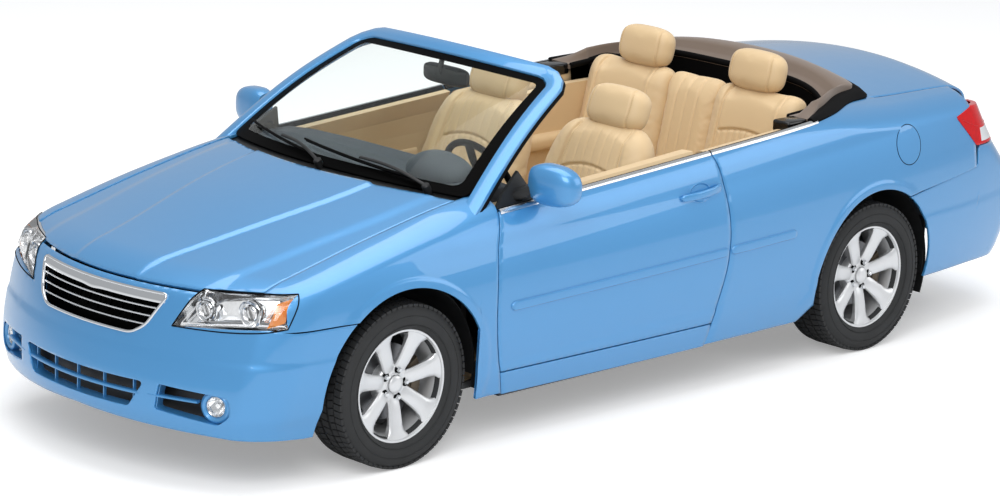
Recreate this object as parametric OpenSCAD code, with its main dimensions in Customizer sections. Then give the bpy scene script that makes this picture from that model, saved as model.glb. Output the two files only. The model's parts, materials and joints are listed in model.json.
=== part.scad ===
// Four-seat convertible car with its roof folded away under a cover.
// Millimetres. The nose points to -Y, the car's left is +X, +Z is up.
// The origin is on the ground, under the middle of the body.

/* [Body] */
// Distance between the front and rear axles
wheelbase = 2692; // [2240:1:3240]
// Width of the body over its widest panels
body_width = 1764; // [1470:1:2120]
// Height of the windscreen header above the ground
header_height = 1378; // [1150:1:1660]
// Gap between two body panels
panel_gap = 6; // [5:0.5:8]
// Thickness of a wing, bumper or boot panel
panel_thickness = 20; // [12:1:24]
// Thickness of the door without its inner trim
door_thickness = 60; // [50:1:72]
// Thickness of the bonnet with its inner frame
bonnet_thickness = 22; // [16:1:28]

/* [Wheels] */
// Outer radius of the tyre
tyre_radius = 322; // [305:1:340]
// Width of the tyre
tyre_width = 215; // [180:1:235]
// Radius of the rim flange
rim_radius = 233; // [220:1:245]
// Number of spokes
spoke_count = 7; // [5:1:9]
// Radius of the stub axles
stub_radius = 17; // [14:0.5:20]
// Radial clearance of a running fit
running_fit = 0.05; // [0.02:0.01:0.1]
// Distance from the car's centre plane to the middle of a tyre
half_track = 733; // [720:1:745]
// Radius of the wheel arch opening
arch_radius = 388; // [380:1:400]

/* [Cabin] */
// Outer radius of the steering wheel
steering_wheel_radius = 187; // [170:1:200]
// Thickness of the steering wheel rim
steering_wheel_grip = 30; // [24:1:34]
// Width of a front seat
seat_width = 500; // [440:1:520]
// Thickness of the windscreen glass
glass_thickness = 6; // [4:0.5:8]

/* [Details] */
// Radius of a fog lamp
fog_lamp_radius = 42; // [34:1:46]
// Outer radius of the exhaust tail pipe
tail_pipe_radius = 32; // [26:1:36]
// Wall of the exhaust tail pipe
tail_pipe_wall = 3; // [2:0.5:4]
// Radius of the threaded towing eye hole
tow_hole_radius = 9; // [7:0.5:10]

/* [Hidden] */

paint = "steelblue";
leather = "burlywood";
plastic = "dimgray";
steel = "silver";

// The body is drawn at these sizes and stretched to the driving ones
length_scale = wheelbase / 2692;
width_scale = body_width / 1764;
height_scale = header_height / 1378;
front_axle = -1480 * length_scale;
rear_axle = front_axle + wheelbase;
hub_z = tyre_radius;
half_gap = panel_gap / 2;

// Half width of the body at each station along its length
PLAN = [[-2410, 775], [-2000, 822], [-1480, 868], [-900, 882], [900, 882], [1500, 858],
    [2000, 795], [2410, 710]];
// Height of the shoulder at each station
SHOULDER = [[-2410, 665], [-2000, 750], [-1500, 865], [-1080, 942], [-600, 965], [0, 1000],
    [870, 1045], [1400, 1005], [2100, 965], [2410, 920]];
// Station of the nose and of the tail on the centre plane at each height
NOSE = [[150, -2355], [240, -2386], [370, -2390], [500, -2365], [600, -2338], [700, -2300],
    [800, -2240]];
TAIL = [[150, 2250], [263, 2342], [400, 2400], [540, 2410], [620, 2395], [700, 2320],
    [775, 2250], [958, 2140], [1060, 2100]];
nose_curve = 0.000406;
tail_curve = 0.00018;
shoulder_x = 790;
// How far the rounding of each edge reaches: side, top, nose and tail
ROUND = [85, 50, 130, 120];

function slope(t, i) = (t[i + 1][1] - t[i][1]) / (t[i + 1][0] - t[i][0]);
function knot(t, i) =
    i == 0 ? slope(t, 0) :
    i == len(t) - 1 ? slope(t, i - 1) :
    ((t[i + 1][0] - t[i][0]) * slope(t, i - 1) + (t[i][0] - t[i - 1][0]) * slope(t, i))
        / (t[i + 1][0] - t[i - 1][0]);
function span(t, x, i = 0) = i >= len(t) - 2 || x < t[i + 1][0] ? i : span(t, x, i + 1);
function clamp(x, a, b) = min(max(x, a), b);
// Smooth curve through a table of [position, value]
function curve(t, x0) =
    let (x = clamp(x0, t[0][0], t[len(t) - 1][0]), i = span(t, x), h = t[i + 1][0] - t[i][0],
        s = (x - t[i][0]) / h)
    (1 + 2 * s) * (1 - s) * (1 - s) * t[i][1] + s * (1 - s) * (1 - s) * h * knot(t, i)
        + s * s * (3 - 2 * s) * t[i + 1][1] + s * s * (s - 1) * h * knot(t, i + 1);

function belt(y) = 918 + 0.0624 * (y + 971);
function half_width(y, z) =
    let (up = max(0, (z - 600) / (belt(clamp(y, -1300, 1000)) - 600)), low = max(0, 600 - z))
    curve(PLAN, y) - 88 * up * up - 0.00032 * low * low;
function crown(y) = 0.0001 + 0.00008 * clamp((y + 900) / 1800, 0, 1);
function top(x, y) = curve(SHOULDER, y) + crown(y) * (shoulder_x * shoulder_x - x * x);
function nose(x, z) = curve(NOSE, z) + nose_curve * x * x;
function tail(x, z) = curve(TAIL, z) - tail_curve * x * x;
function over(a, r) = max(0, 1 + a / r);
// Below zero inside the body and zero on its outer skin
function skin(p) =
    norm([over(abs(p.x) - half_width(p.y, p.z), ROUND[0]), over(p.z - top(p.x, p.y), ROUND[1]),
        over(nose(p.x, p.z) - p.y, ROUND[2]), over(p.y - tail(p.x, p.z), ROUND[3])]) - 1;
// Distance along the ray from o in direction d to the skin
function reach(o, d, a = 0, b = 900, n = 16) =
    n == 0 ? (a + b) / 2 :
    skin(o + (a + b) / 2 * d) < 0 ? reach(o, d, (a + b) / 2, b, n - 1)
        : reach(o, d, a, (a + b) / 2, n - 1);
function mix(a, b, t) = a + (b - a) * t;
function at(p) = [p.x * width_scale, p.y * length_scale, p.z * height_scale];

// Point of the body side at station y and height z, sunk in by depth
function side_point(y, z, depth = 0) =
    let (o = [300, y, z]) o + (reach(o, [1, 0, 0]) - depth) * [1, 0, 0];
// Edge of the bonnet and of the boot lid, where the shoulder of a wing ends
function seam_x(y) = y < 0 ? 672 : mix(633, 600, (y - 1425) / 600);
function pivot_z(y) = top(seam_x(y), y) - 100;
// Point over the shoulder, with q from 0 at the side to 1 at the bonnet or lid seam
function shoulder_point(y, q, depth = 0, edge = 0) =
    let (o = [seam_x(y) + edge, y, pivot_z(y)], d = [cos(90 * q), 0, sin(90 * q)])
    o + (reach(o, d, 0, 400) - depth) * d;
// Point around the nose or the tail (end -1 or 1): s runs from the centre to the corner at 1
// and on along the side to 2
CORNER_X = 600;
function ring_y(end) = end < 0 ? -1930 : 1940;
function ring_point(end, s, z, depth = 0, run = 200) =
    let (c = CORNER_X, a = clamp(2 * s - 1, 0, 1) * 90, k = clamp(s - 1, 0, 1),
        o = [c * min(1, 2 * s), ring_y(end) - end * k * run, z],
        d = [sin(a), end * cos(a), 0])
    o + (reach(o, d) - depth) * d;

// Closed solid between an outer and an inner grid of points
module slab(outer, inner) {
    n = len(outer);
    m = len(outer[0]);
    points = [for (g = [outer, inner]) for (row = g) for (p = row) at(p)];
    function id(k, i, j) = k * n * m + i * m + j;
    quads = concat(
        [for (i = [0 : n - 2], j = [0 : m - 2])
            [id(0, i, j), id(0, i, j + 1), id(0, i + 1, j + 1), id(0, i + 1, j)]],
        [for (i = [0 : n - 2], j = [0 : m - 2])
            [id(1, i, j), id(1, i + 1, j), id(1, i + 1, j + 1), id(1, i, j + 1)]],
        [for (i = [0 : n - 2]) [id(0, i, 0), id(0, i + 1, 0), id(1, i + 1, 0), id(1, i, 0)]],
        [for (i = [0 : n - 2])
            [id(0, i, m - 1), id(1, i, m - 1), id(1, i + 1, m - 1), id(0, i + 1, m - 1)]],
        [for (j = [0 : m - 2]) [id(0, 0, j), id(1, 0, j), id(1, 0, j + 1), id(0, 0, j + 1)]],
        [for (j = [0 : m - 2])
            [id(0, n - 1, j), id(0, n - 1, j + 1), id(1, n - 1, j + 1), id(1, n - 1, j)]]);
    faces = [for (q = quads) each [[q[0], q[1], q[2]], [q[0], q[2], q[3]]]];
    polyhedron(points, faces);
}

// Closed solid through a row of rings with the same number of points
module loft(rings) {
    n = len(rings);
    m = len(rings[0]);
    faces = concat(
        [for (i = [0 : n - 2], j = [0 : m - 1]) let (a = i * m + j, b = i * m + (j + 1) % m)
            each [[a, b, b + m], [a, b + m, a + m]]],
        [for (j = [1 : m - 2]) [0, j + 1, j]],
        [for (j = [1 : m - 2]) (n - 1) * m * [1, 1, 1] + [0, j, j + 1]]);
    polyhedron([for (r = rings) for (p = r) at(p)], faces);
}

// Box between two corners
module block(a, b) translate(at(a)) cube(at(b) - at(a));
// Outline in the YZ plane, extruded from x0 to x1
module prism(points, x0, x1) {
    translate([x0 * width_scale, 0, 0]) rotate([90, 0, 90])
        linear_extrude((x1 - x0) * width_scale)
            polygon([for (p = points) [p.x * length_scale, p.y * height_scale]]);
}
module mirror_copy() {
    children();
    mirror([1, 0, 0]) children();
}
module right() mirror([1, 0, 0]) children();
// Round bar along X
module bar_x(r, x0, x1, p = [0, 0]) translate([x0, p.x, p.y]) rotate([0, 90, 0])
    cylinder(r = r, h = x1 - x0, $fn = 48);

function rows(n) = [for (i = [0 : n]) i / n];

/* Wings, quarter panels and doors */

// Lower edge of the wing: along the bumper seam, over the arch and down to the sill
function arch_point(axle, a, r = arch_radius) =
    [axle / length_scale - r * cos(a), hub_z / height_scale + r * sin(a)];
bumper_seam_z = 618;
sill_z = 207;
wing_front = -2010;
function door_front(z) = curve([[190, -958], [280, -987], [450, -1030], [597, -1042],
    [780, -1020], [926, -966], [1000, -935]], z);
function door_rear(z) = curve([[190, 160], [299, 185], [369, 201], [550, 243], [743, 250],
    [880, 232], [998, 208], [1100, 190]], z);
function wing_low(u) =
    let (a0 = asin((bumper_seam_z * height_scale - hub_z) / arch_radius))
    u < 0.3 ? [mix(wing_front, arch_point(front_axle, a0).x, u / 0.3), bumper_seam_z] :
    u < 0.9 ? arch_point(front_axle, mix(a0, 196, (u - 0.3) / 0.6)) :
    [mix(arch_point(front_axle, 196).x, door_front(sill_z) - panel_gap, (u - 0.9) / 0.1), sill_z];
function wing_high(u) = mix(wing_front + 25, door_front(pivot_z(-1000)) - panel_gap,
    u < 0.3 ? u : u < 0.9 ? u : u);
function ease(x) = let (t = clamp(x, 0, 1)) t * t * (3 - 2 * t);
// The last columns lean over to follow the door's curved front edge
function wing_row(u, k) =
    let (low = wing_low(u), yh = wing_high(u), end = wing_low(1), z = mix(low.y, pivot_z(yh), k),
        ze = mix(end.y, pivot_z(wing_high(1)), k))
    [mix(low.x, yh, k) + ease((u - 0.8) / 0.2) * (door_front(ze) - panel_gap
        - mix(end.x, wing_high(1), k)), z];
lamp_bulge = 40;
function wing_grid(depth) = [for (u = rows(20)) [for (v = rows(8))
    let (yz = wing_row(u, min(v / 0.6, 1)), q = (v - 0.6) / 0.4)
    v <= 0.6 ? side_point(yz.x, yz.y, depth) :
    shoulder_point(wing_high(u) + lamp_bulge * sin(180 * q) * ease(1 - u / 0.3) + ease((u - 0.8)
        / 0.2) * (door_front(mix(870, 935, q)) - door_front(870)), q, depth * (1 + 1.6 * q),
        half_gap)]];

module front_fender() color(paint) {
    slab(wing_grid(0), wing_grid(panel_thickness));
    // Flange that rests on the engine bay rail
    block([645, -1500, 735.6], [700, -1460, 750]);
    block([685, -1500, 749], [700, -1460, deck_z(690, -1480) - 3]);
}
module front_fender_left() front_fender();
module front_fender_right() right() front_fender();

quarter_rear = 1935;
rear_seam_z = 655;
function quarter_low(u) =
    let (a0 = asin((rear_seam_z * height_scale - hub_z) / arch_radius))
    u < 0.1 ? [mix(door_rear(sill_z) + panel_gap, arch_point(rear_axle, -8).x - 30, u / 0.1),
        sill_z] :
    u < 0.7 ? arch_point(rear_axle, mix(-8, 180 - a0, (u - 0.1) / 0.6)) :
    [mix(arch_point(rear_axle, 180 - a0).x, quarter_rear, (u - 0.7) / 0.3),
        mix(rear_seam_z, 700, (u - 0.7) / 0.3)];
function quarter_high(u) = mix(door_rear(950) + panel_gap, quarter_rear, u);
// The front part of the quarter panel ends at the belt, and the rear part at the lid seam
deck_front = 1425;
function quarter_top(y) = min(pivot_z(y), belt(y) - 60);
function quarter_grid(depth) = [for (u = rows(24)) [for (v = rows(8))
    let (low = quarter_low(u), yh = quarter_high(u), k = min(v / 0.6, 1), lean = ease(1 - u / 0.12),
        z = mix(low.y, quarter_top(yh), k), z0 = mix(sill_z, quarter_top(quarter_high(0)), k),
        y = mix(low.x, yh, k) + lean * (door_rear(z0) + panel_gap - mix(quarter_low(0).x,
            quarter_high(0), k)),
        q = (v - 0.6) / 0.4, zt = mix(quarter_top(yh), belt(yh) - 30 * ease((yh - 900) / 300), q))
    v <= 0.6 ? side_point(y, z, depth) :
    yh < deck_front ? side_point(yh + lean * (door_rear(zt) + panel_gap - quarter_high(0)), zt,
        depth) :
    shoulder_point(yh, q, depth * (1 + q), half_gap)]];
// Dome over the tail lamp, around an upright line at the corner of the boot opening
CORNER_PIVOT = [CORNER_X + half_gap + 1, 1940, 900];
function dome_point(a, e, depth) =
    let (d = [sin(a) * cos(e), cos(a) * cos(e), sin(e)])
    CORNER_PIVOT + (reach(CORNER_PIVOT, d, 0, 400) - depth) * d;
function dome_low(a) = let (s = 0.5 + a / 180) asin(clamp((lamp_high(s) + panel_gap
    - CORNER_PIVOT.z) / 170, 0.05, 0.6));
function dome_grid(depth) = [for (a = [90 : -15 : 0]) [for (v = rows(5))
    dome_point(a, mix(dome_low(a), 88, v), depth)]];

module quarter_panel() {
    color(paint) difference() {
        slab(quarter_grid(0), quarter_grid(panel_thickness));
        slab(tail_grid(-9, 5), tail_grid(45, 5));
    }
    color(paint) difference() {
        slab(dome_grid(0), dome_grid(panel_thickness));
        slab(tail_grid(-9, 5), tail_grid(45, 5));
    }
    // Door jamb with the striker that the shut door rests against
    color("dimgray") {
        block([641, 262, 320], [862, 270, 760]);
        block([700, 236, 740], [side_point(236, 740, door_thickness + 4.6).x, 262.1, 760]);
    }
}
module quarter_panel_left() quarter_panel();
module quarter_panel_right() right() quarter_panel();

door_axis = [885, -1040];
door_angle = 65;
function door_grid(depth, low, high, back = 0, n = 14, m = 8) =
    [for (u = rows(n)) [for (v = rows(m))
        let (z = v < 1 ? mix(low, belt(mix(-966, 208, u)) - high, v)
                : belt(mix(-966, 208, u)) - high,
            y = mix(door_front(z), door_rear(z) - back, u))
        side_point(y, z, depth)]];
module door() {
    color(paint) slab(door_grid(0, 300, 0), door_grid(door_thickness, 300, 0, 8));
    color("white") slab(strip_grid(-8), strip_grid(-0.1));
    color("silver") handle();
}
function strip_grid(depth) = [for (u = rows(8)) [for (v = rows(1))
    let (y = mix(-970, 170, u)) side_point(y, mix(560, 596, v) + 0.031 * (y + 970), depth)]];
module handle() {
    slab([for (u = rows(6)) [for (v = rows(2)) side_point(mix(-20, 215, u),
            mix(838, 864, v) + 0.07 * mix(-20, 215, u), -mix(8, 28, sin(180 * u)))]],
        [for (u = rows(6)) [for (v = rows(2)) side_point(mix(-20, 215, u),
            mix(838, 864, v) + 0.07 * mix(-20, 215, u), -0.1)]]);
}
module door_left() door();
module door_right() right() door();

trim_depth = 45;
module door_trim() color(leather) {
    slab(door_grid(door_thickness + 1.2, 300, 0, 34), door_grid(door_thickness + trim_depth, 300,
        0, 46));
}
module door_trim_left() door_trim();
module door_trim_right() right() door_trim();

mirror_place = [905, -776, 1012];
mirror_radii = [50, 66];
// Rings of the mirror housing along X: [distance along, size]
MIRROR_RINGS = [[0, 0.72], [0.12, 0.92], [0.4, 1], [0.75, 0.9], [0.93, 0.62], [1, 0.3]];
mirror_inner = 812;
mirror_outer = 993;
function mirror_ring(t, k) = [for (a = [0 : 36 : 324])
    [mix(mirror_inner, mirror_outer, t), mirror_place.y + 22 * t + k * mirror_radii.x * cos(a),
        mirror_place.z + k * mirror_radii.y * sin(a)]];
module door_mirror() {
    color(paint) loft([for (r = MIRROR_RINGS) mirror_ring(r[0], r[1])]);
    color("black") loft([for (x = [748, mirror_inner - 0.3]) [for (a = [0 : 45 : 315])
        [x, mirror_place.y - (mirror_inner - x) * 0.9 + 30 * cos(a),
            mirror_place.z - 18 - (mirror_inner - x) * 0.64 + 26 * sin(a)]]]);
}
module mirror_left() door_mirror();
module mirror_right() right() door_mirror();

/* Bonnet and boot lid */

// Painted sill below each door
function sill_grid(depth) = [for (u = rows(10)) [for (v = rows(2))
    let (z = mix(200, 294, v)) side_point(mix(door_front(z), door_rear(z), u), z, depth)]];
module sills() mirror_copy() color(paint) slab(sill_grid(0), sill_grid(panel_thickness));

bonnet_rear = -1262;
function bonnet_back(x) = bonnet_rear + 0.00039 * x * x;
// The front edge follows the nose, then the inner side of the lamps
function front_y(x, z) = -1500 - reach([x, -1500, z], [0, -1, 0], 0, 1200);
function bonnet_front(x) = max(front_y(x, 726) + 16,
    abs(x) > 470 ? mix(-2163, -1990, (abs(x) - 470) / 205) : -9999);
function bonnet_grid(depth) = [for (u = rows(18)) let (x = mix(-1, 1, u) * (672 - half_gap))
    [for (v = rows(10)) let (y = mix(bonnet_front(x) + half_gap, bonnet_back(x) - half_gap, v),
        o = [x, y, 400]) o + (reach(o, [0, 0, 1]) - depth) * [0, 0, 1]]];
bonnet_axis = [-1078, 948];
module bonnet() color(paint) slab(bonnet_grid(0), bonnet_grid(bonnet_thickness));

lid_low = 715;
lid_axis = [1418, 1122];
function lid_front(x) = deck_front - 0.00012 * x * x + 20;
// The lid runs back over the deck, turns over its rear edge and drops down the tail
function lid_point(x, v, depth) =
    let (py = 1985, pz = 940, front = lid_front(x) + half_gap)
    v < 0.5 ? let (o = [x, mix(front, py, v / 0.5), 700])
        o + (reach(o, [0, 0, 1]) - depth) * [0, 0, 1] :
    v < 0.8 ? let (a = (v - 0.5) / 0.3 * 90, o = [x, py, pz], d = [0, sin(a), cos(a)])
        o + (reach(o, d) - depth) * d :
    let (o = [x, py, mix(pz, lid_low, (v - 0.8) / 0.2)]) o + (reach(o, [0, 1, 0]) - depth)
        * [0, 1, 0];
function lid_grid(depth) = [for (u = rows(14)) [for (v = rows(20)) let (y = mix(1425, 2025,
    clamp(v / 0.5, 0, 1)), x = mix(-1, 1, u) * (seam_x(y) - half_gap)) lid_point(x, v, depth)]];
module trunk_lid() color(paint) slab(lid_grid(0), lid_grid(panel_thickness));

/* Bumpers, grille and lamps */

function front_low(s) = mix(236, 190, clamp(s, 0, 1));
// Upper edge of the front bumper: below the bonnet, under the lamp, along the wing seam
function front_high(s) = s < 0.32 ? 721 : s < 0.375 ? mix(721, 596, (s - 0.32) / 0.055)
    : mix(596, bumper_seam_z - panel_gap, clamp((s - 0.375) / 0.45, 0, 1));
function front_run(z) = let (h = z * height_scale - hub_z)
    1930 + front_axle / length_scale - sqrt(max(0, pow(arch_radius + max(0, 300 - z) * 0.35, 2)
    - h * h));
function bumper_front_grid(depth) = [for (s = [-2 : 0.125 : 2]) [for (v = rows(8))
    let (z = mix(front_low(abs(s)), front_high(abs(s)), v), p = ring_point(-1, abs(s), z, depth,
        front_run(z))) [s < 0 ? -p.x : p.x, p.y, p.z]]];
module front_bumper() {
    color(paint) difference() {
        slab(bumper_front_grid(0), bumper_front_grid(panel_thickness));
        mirror_copy() fog_socket(fog_lamp_radius + 0.3);
        grille_opening(0);
        lower_opening(0);
        tow_hole();
    }
    color(paint) difference() {
        tow_boss(30);
        tow_hole();
    }
}
// Openings are cut along the length of the car
module cut_y(y0, y1, points) translate([0, y1 * length_scale, 0]) rotate([90, 0, 0])
    linear_extrude((y1 - y0) * length_scale)
        polygon([for (p = points) [p.x * width_scale, p.y * height_scale]]);
module grille_opening(d) cut_y(-2460, -2140, [[-372 + d, 690 - d], [-300 + d, 540 + d],
    [-262, 512 + d], [262, 512 + d], [300 - d, 540 + d], [372 - d, 690 - d]]);
module lower_opening(d) cut_y(-2460, -2200, [[-380 + d, 362 - d], [-290 + d, 272 + d],
    [290 - d, 272 + d], [380 - d, 362 - d]]);
fog_place = [600, -2300, 335];
module fog_socket(r) translate(at(fog_place)) rotate([-90, 0, 0]) cylinder(r = r, h = 150,
    $fn = 40);
tow_x = -440;
module tow_boss(r) translate(at([tow_x, -2230, 450])) rotate([90, 0, 0])
    cylinder(r = r, h = 55 * length_scale, $fn = 32);
module tow_hole() translate(at([tow_x, -2200, 450])) rotate([90, 0, 0])
    cylinder(r = tow_hole_radius, h = 260 * length_scale, $fn = 32);

// Black backing that follows the inside of the bumper behind both openings
function grille_grid(depth) = [for (s = [-0.3 : 0.06 : 0.301]) [for (v = rows(9))
    let (p = ring_point(-1, abs(s), mix(262, 684, v), depth)) [s < 0 ? -p.x : p.x, p.y, p.z]]];
module grille() color("black") {
    slab(grille_grid(panel_thickness + 14), grille_grid(panel_thickness + 25));
    block([-150, nose(0, 490) + panel_thickness + 12, 480], [150, -2190.6, 500]);
}

// Lamp lens between four corners, given as [s, z] around the nose or the tail
function lens_grid(end, c, depth, n = 8, m = 4) = [for (u = rows(n)) [for (v = rows(m))
    let (lo = mix(c[0], c[1], u), hi = mix(c[3], c[2], u), q = mix(lo, hi, v))
    ring_point(end, q[0], q[1], depth, 200)]];
HEADLAMP = [[0.386, 611], [0.838, 633], [0.9, 730], [0.43, 716]];
module headlights() mirror_copy() color("aliceblue")
    slab(lens_grid(-1, HEADLAMP, 2), lens_grid(-1, HEADLAMP, 80));
// The tail lamp ends in a tip that points forwards along the side
lamp_tip = [1808, 930];
lamp_s = [0.516, 1 + (1940 - lamp_tip.x) / 200];
function lamp_low(s) = s < 1 ? 792 : mix(792, lamp_tip.y - 4, (s - 1) / (lamp_s[1] - 1));
function lamp_high(s) = s < 1 ? mix(950, 962, (s - 0.5) / 0.5)
    : mix(962, lamp_tip.y + 4, (s - 1) / (lamp_s[1] - 1));
function tail_grid(depth, room = 0) = [for (u = rows(12)) [for (v = rows(4))
    let (s = mix(lamp_s[1] + room / 200, lamp_s[0] - room / 200, u)) ring_point(1, s,
        mix(lamp_low(s) - room, lamp_high(s) + room, v), depth, 200)]];
module tail_lights() mirror_copy() color("firebrick") {
    slab(tail_grid(2), tail_grid(30));
    block([560.6, 1985, 840], [680, 2005, 860]);
}

module fog_lights() mirror_copy() color("aliceblue") intersection() {
    fog_socket(fog_lamp_radius);
    translate([0, -2235 * length_scale, 0]) cube([3000, 120, 3000], center = true);
}

function rear_high(s) = s < 0.97 ? mix(lid_low - panel_gap, 784, clamp((s - 0.505) / 0.1, 0, 1))
    : mix(700 - panel_gap, rear_seam_z - panel_gap, clamp(s - 1, 0, 1));
function rear_low(s) = mix(245, 262, clamp(s, 0, 1));
function rear_run(z) = let (h = z * height_scale - hub_z)
    1940 - (rear_axle / length_scale + sqrt(max(0, pow(arch_radius, 2) - h * h)));
function bumper_rear_grid(depth) = [for (s = [2 : -0.125 : -2]) [for (v = rows(8))
    let (z = mix(rear_low(abs(s)), rear_high(abs(s)), v), p = ring_point(1, abs(s), z, depth,
        rear_run(z))) [s < 0 ? -p.x : p.x, p.y, p.z]]];
module rear_bumper() color(paint) {
    slab(bumper_rear_grid(0), bumper_rear_grid(panel_thickness));
    mirror_copy() block([300, 2230.6, 600], [360, tail(360, 620) - 6, 640]);
}

/* Windscreen */

// Outer face of the glass: u runs from right to left, v from the cowl to the header
function glass_point(u, v, depth = 0) =
    let (low = [735 * u, -1190 + 165 * u * u, 985 - 22 * u * u],
        high = [572 * u, -505 + 85 * u * u, 1368 - 32 * u * u],
        p = mix(low, high, v), n = [0.12 * u, -0.5, 0.86])
    p + (28 * sin(180 * v) - depth) * n;
glass_edge = 0.94;
function glass_grid(depth) = [for (u = [-1 : 0.125 : 1]) [for (v = [0 : 0.125 : 1])
    glass_point(glass_edge * u, mix(0.02, 0.955, v), depth)]];
module windscreen() color("lightblue", 0.5) slab(glass_grid(4), glass_grid(4 + glass_thickness));

// Pillars and header are one hoop around the glass
function pillar_ring(side, v) =
    let (o = glass_point(side * 1.03, v, -6), i = glass_point(side * 0.945, v, -4),
        n = [0, -0.5, 0.86]) side < 0 ? [i, o, o - 46 * n, i - 46 * n] : [o, i, i - 46 * n, o - 46 * n];
pillar_foot = 0.08;
module windscreen_frame() color(paint) {
    loft([for (v = rows(8)) pillar_ring(-1, mix(pillar_foot, 0.955, v))]);
    loft([for (v = rows(8)) pillar_ring(1, mix(pillar_foot, 0.955, v))]);
    slab([for (u = [-1 : 0.125 : 1]) [glass_point(u * 1.03, 0.9555, -4), glass_point(u * 1.0,
        1.03, -10), glass_point(u * 0.99, 1.06, 4)]],
        [for (u = [-1 : 0.125 : 1]) [glass_point(u * 1.03, 0.9555, 42), glass_point(u * 1.0,
        1.03, 40), glass_point(u * 0.99, 1.06, 30)]]);
}
cowl_half = 640;
function cowl_grid(depth) = [for (u = [-1 : 0.125 : 1]) let (x = cowl_half * u) [for (v = rows(3))
    let (y = mix(bonnet_back(x) + 5, glass_point(x / 735, 0).y - 8, v)) [x, y, mix(top(x,
        bonnet_back(x)) - 14, glass_point(x / 735, 0).z - 14, v) - depth]]];
module cowl_panel() color("black") {
    slab(cowl_grid(0), cowl_grid(12));
    mirror_copy() block([480, -1150, 900], [520, -1105.6, 950]);
}
module wipers() color("black") for (p = [[60, -0.78], [-420, -0.7]]) {
    x = p.x;
    loft([for (k = rows(6)) let (c = glass_point(mix((x + 300) / 735, (x - 190) / 735, k),
        mix(0.05, 0.17, k), -3.6)) [for (a = [0 : 90 : 270]) c + [0, 8 * cos(a), 8 * sin(a)]]]);
}

/* Structure below the panels */

floor_z = 185;
tub_half = 655;
wall = 25;
house_x = 430;
sill_half = 808;
function deck_z(x, y) = let (o = [x, y, 400]) (o + reach(o, [0, 0, 1]) * [0, 0, 1]).z;
stop_gap = 0.6;
module underbody() color(plastic) {
    // Floor, tunnel and sills
    block([-tub_half, -1080, floor_z], [tub_half, 893, floor_z + wall]);
    block([-560, 892, floor_z], [560, 1000, floor_z + wall]);
    mirror_copy() {
        block([tub_half, -955, floor_z], [sill_half, 150, 290]);
        block([tub_half, 150, floor_z], [780, 740, 290]);
        block([770, -320, 289], [809, -260, 299.5]);
        for (y = [-800, 600]) block([700, y - 50, floor_z - 6], [770, y + 50, floor_z + 1]);
    }
    difference() {
        block([-140, -1080, floor_z + wall], [140, 1000, 420]);
        block([-115, -1081, floor_z], [115, 1001, 395]);
    }
    // Firewall with the windscreen base
    block([-tub_half, -1080 - wall, floor_z], [tub_half, -1080, 925]);
    mirror_copy() block([tub_half, -1080, 300], [715, -1052, 905]);
    // Engine bay rails and wheel house walls
    mirror_copy() {
        block([house_x - wall, -2150, 420], [house_x, -1080 - wall, 640]);
        block([house_x, -1900, 720], [668, -1080 - wall, 735]);
        block([642, -1900, 680], [668, -1080 - wall, 720]);
        // Rubber stops below the bonnet and the boot lid
        block([610, -1170, 735], [660, -1140, deck_z(660, -1170) - bonnet_thickness - stop_gap]);
        block([536, 1700, 954], [559, 1730, deck_z(559, 1730) - panel_thickness - stop_gap]);
    }
    block([-house_x, -2190, 380], [house_x, -2150, 640]);
    // Rear bulkhead, boot floor and rear wheel houses
    block([-560, 1000, floor_z], [560, 1000 + wall, 960]);
    block([-560, 1000 + wall, 420], [560, 2230, 420 + wall]);
    mirror_copy() {
        block([560 - wall, 1000 + wall, 420 + wall], [560, 2030, 955]);
        block([560 - wall, 2029, 420 + wall], [560, 2200, 700]);
        block([559, 1080, 935], [650, 1120, 955]);
    }
    block([-560, 2200, 420 + wall], [560, 2230, 690]);
}

/* Cabin */

module dashboard() color(plastic) {
    prism([[-1075, 640], [-1075, 930], [-1010, 948], [-900, 976], [-772, 982], [-750, 940],
        [-752, 800], [-820, 640]], -650, 650);
    prism([[-980, 966], [-960, 1020], [-905, 1045], [-850, 1030], [-850, 953]], 240, 500);
    translate(at([column_x, wheel_centre.y, wheel_centre.z])) rotate([column_tilt, 0, 0])
        translate([0, 0, -300]) cylinder(r = 12, h = 305, $fn = 40);
}
column_x = 370;
wheel_centre = [370, -660, 912];
column_tilt = -65;
module steering_wheel() color("black") translate(at(wheel_centre)) rotate([column_tilt, 0, 0])
    difference() {
        union() {
            rotate_extrude($fn = 64) translate([steering_wheel_radius - steering_wheel_grip / 2, 0])
                circle(r = steering_wheel_grip / 2, $fn = 24);
            cylinder(r = 62, h = 40, center = true, $fn = 48);
            for (a = [0, 180, 270]) rotate([0, 0, a]) translate([40, -16, -8])
                cube([steering_wheel_radius - steering_wheel_grip / 2 - 40, 32, 14]);
        }
        translate([0, 0, -30]) cylinder(r = 12 + running_fit, h = 36, $fn = 40);
    }

module interior_mirror() color("black") {
    translate(at([0, -528, 1262])) resize([230, 34, 62]) sphere(50, $fn = 20);
    prism([[-545, 1280], [-528, 1318], [-508, 1318], [-521, 1280]], -10, 10);
}

seat_x = 350;
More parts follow.
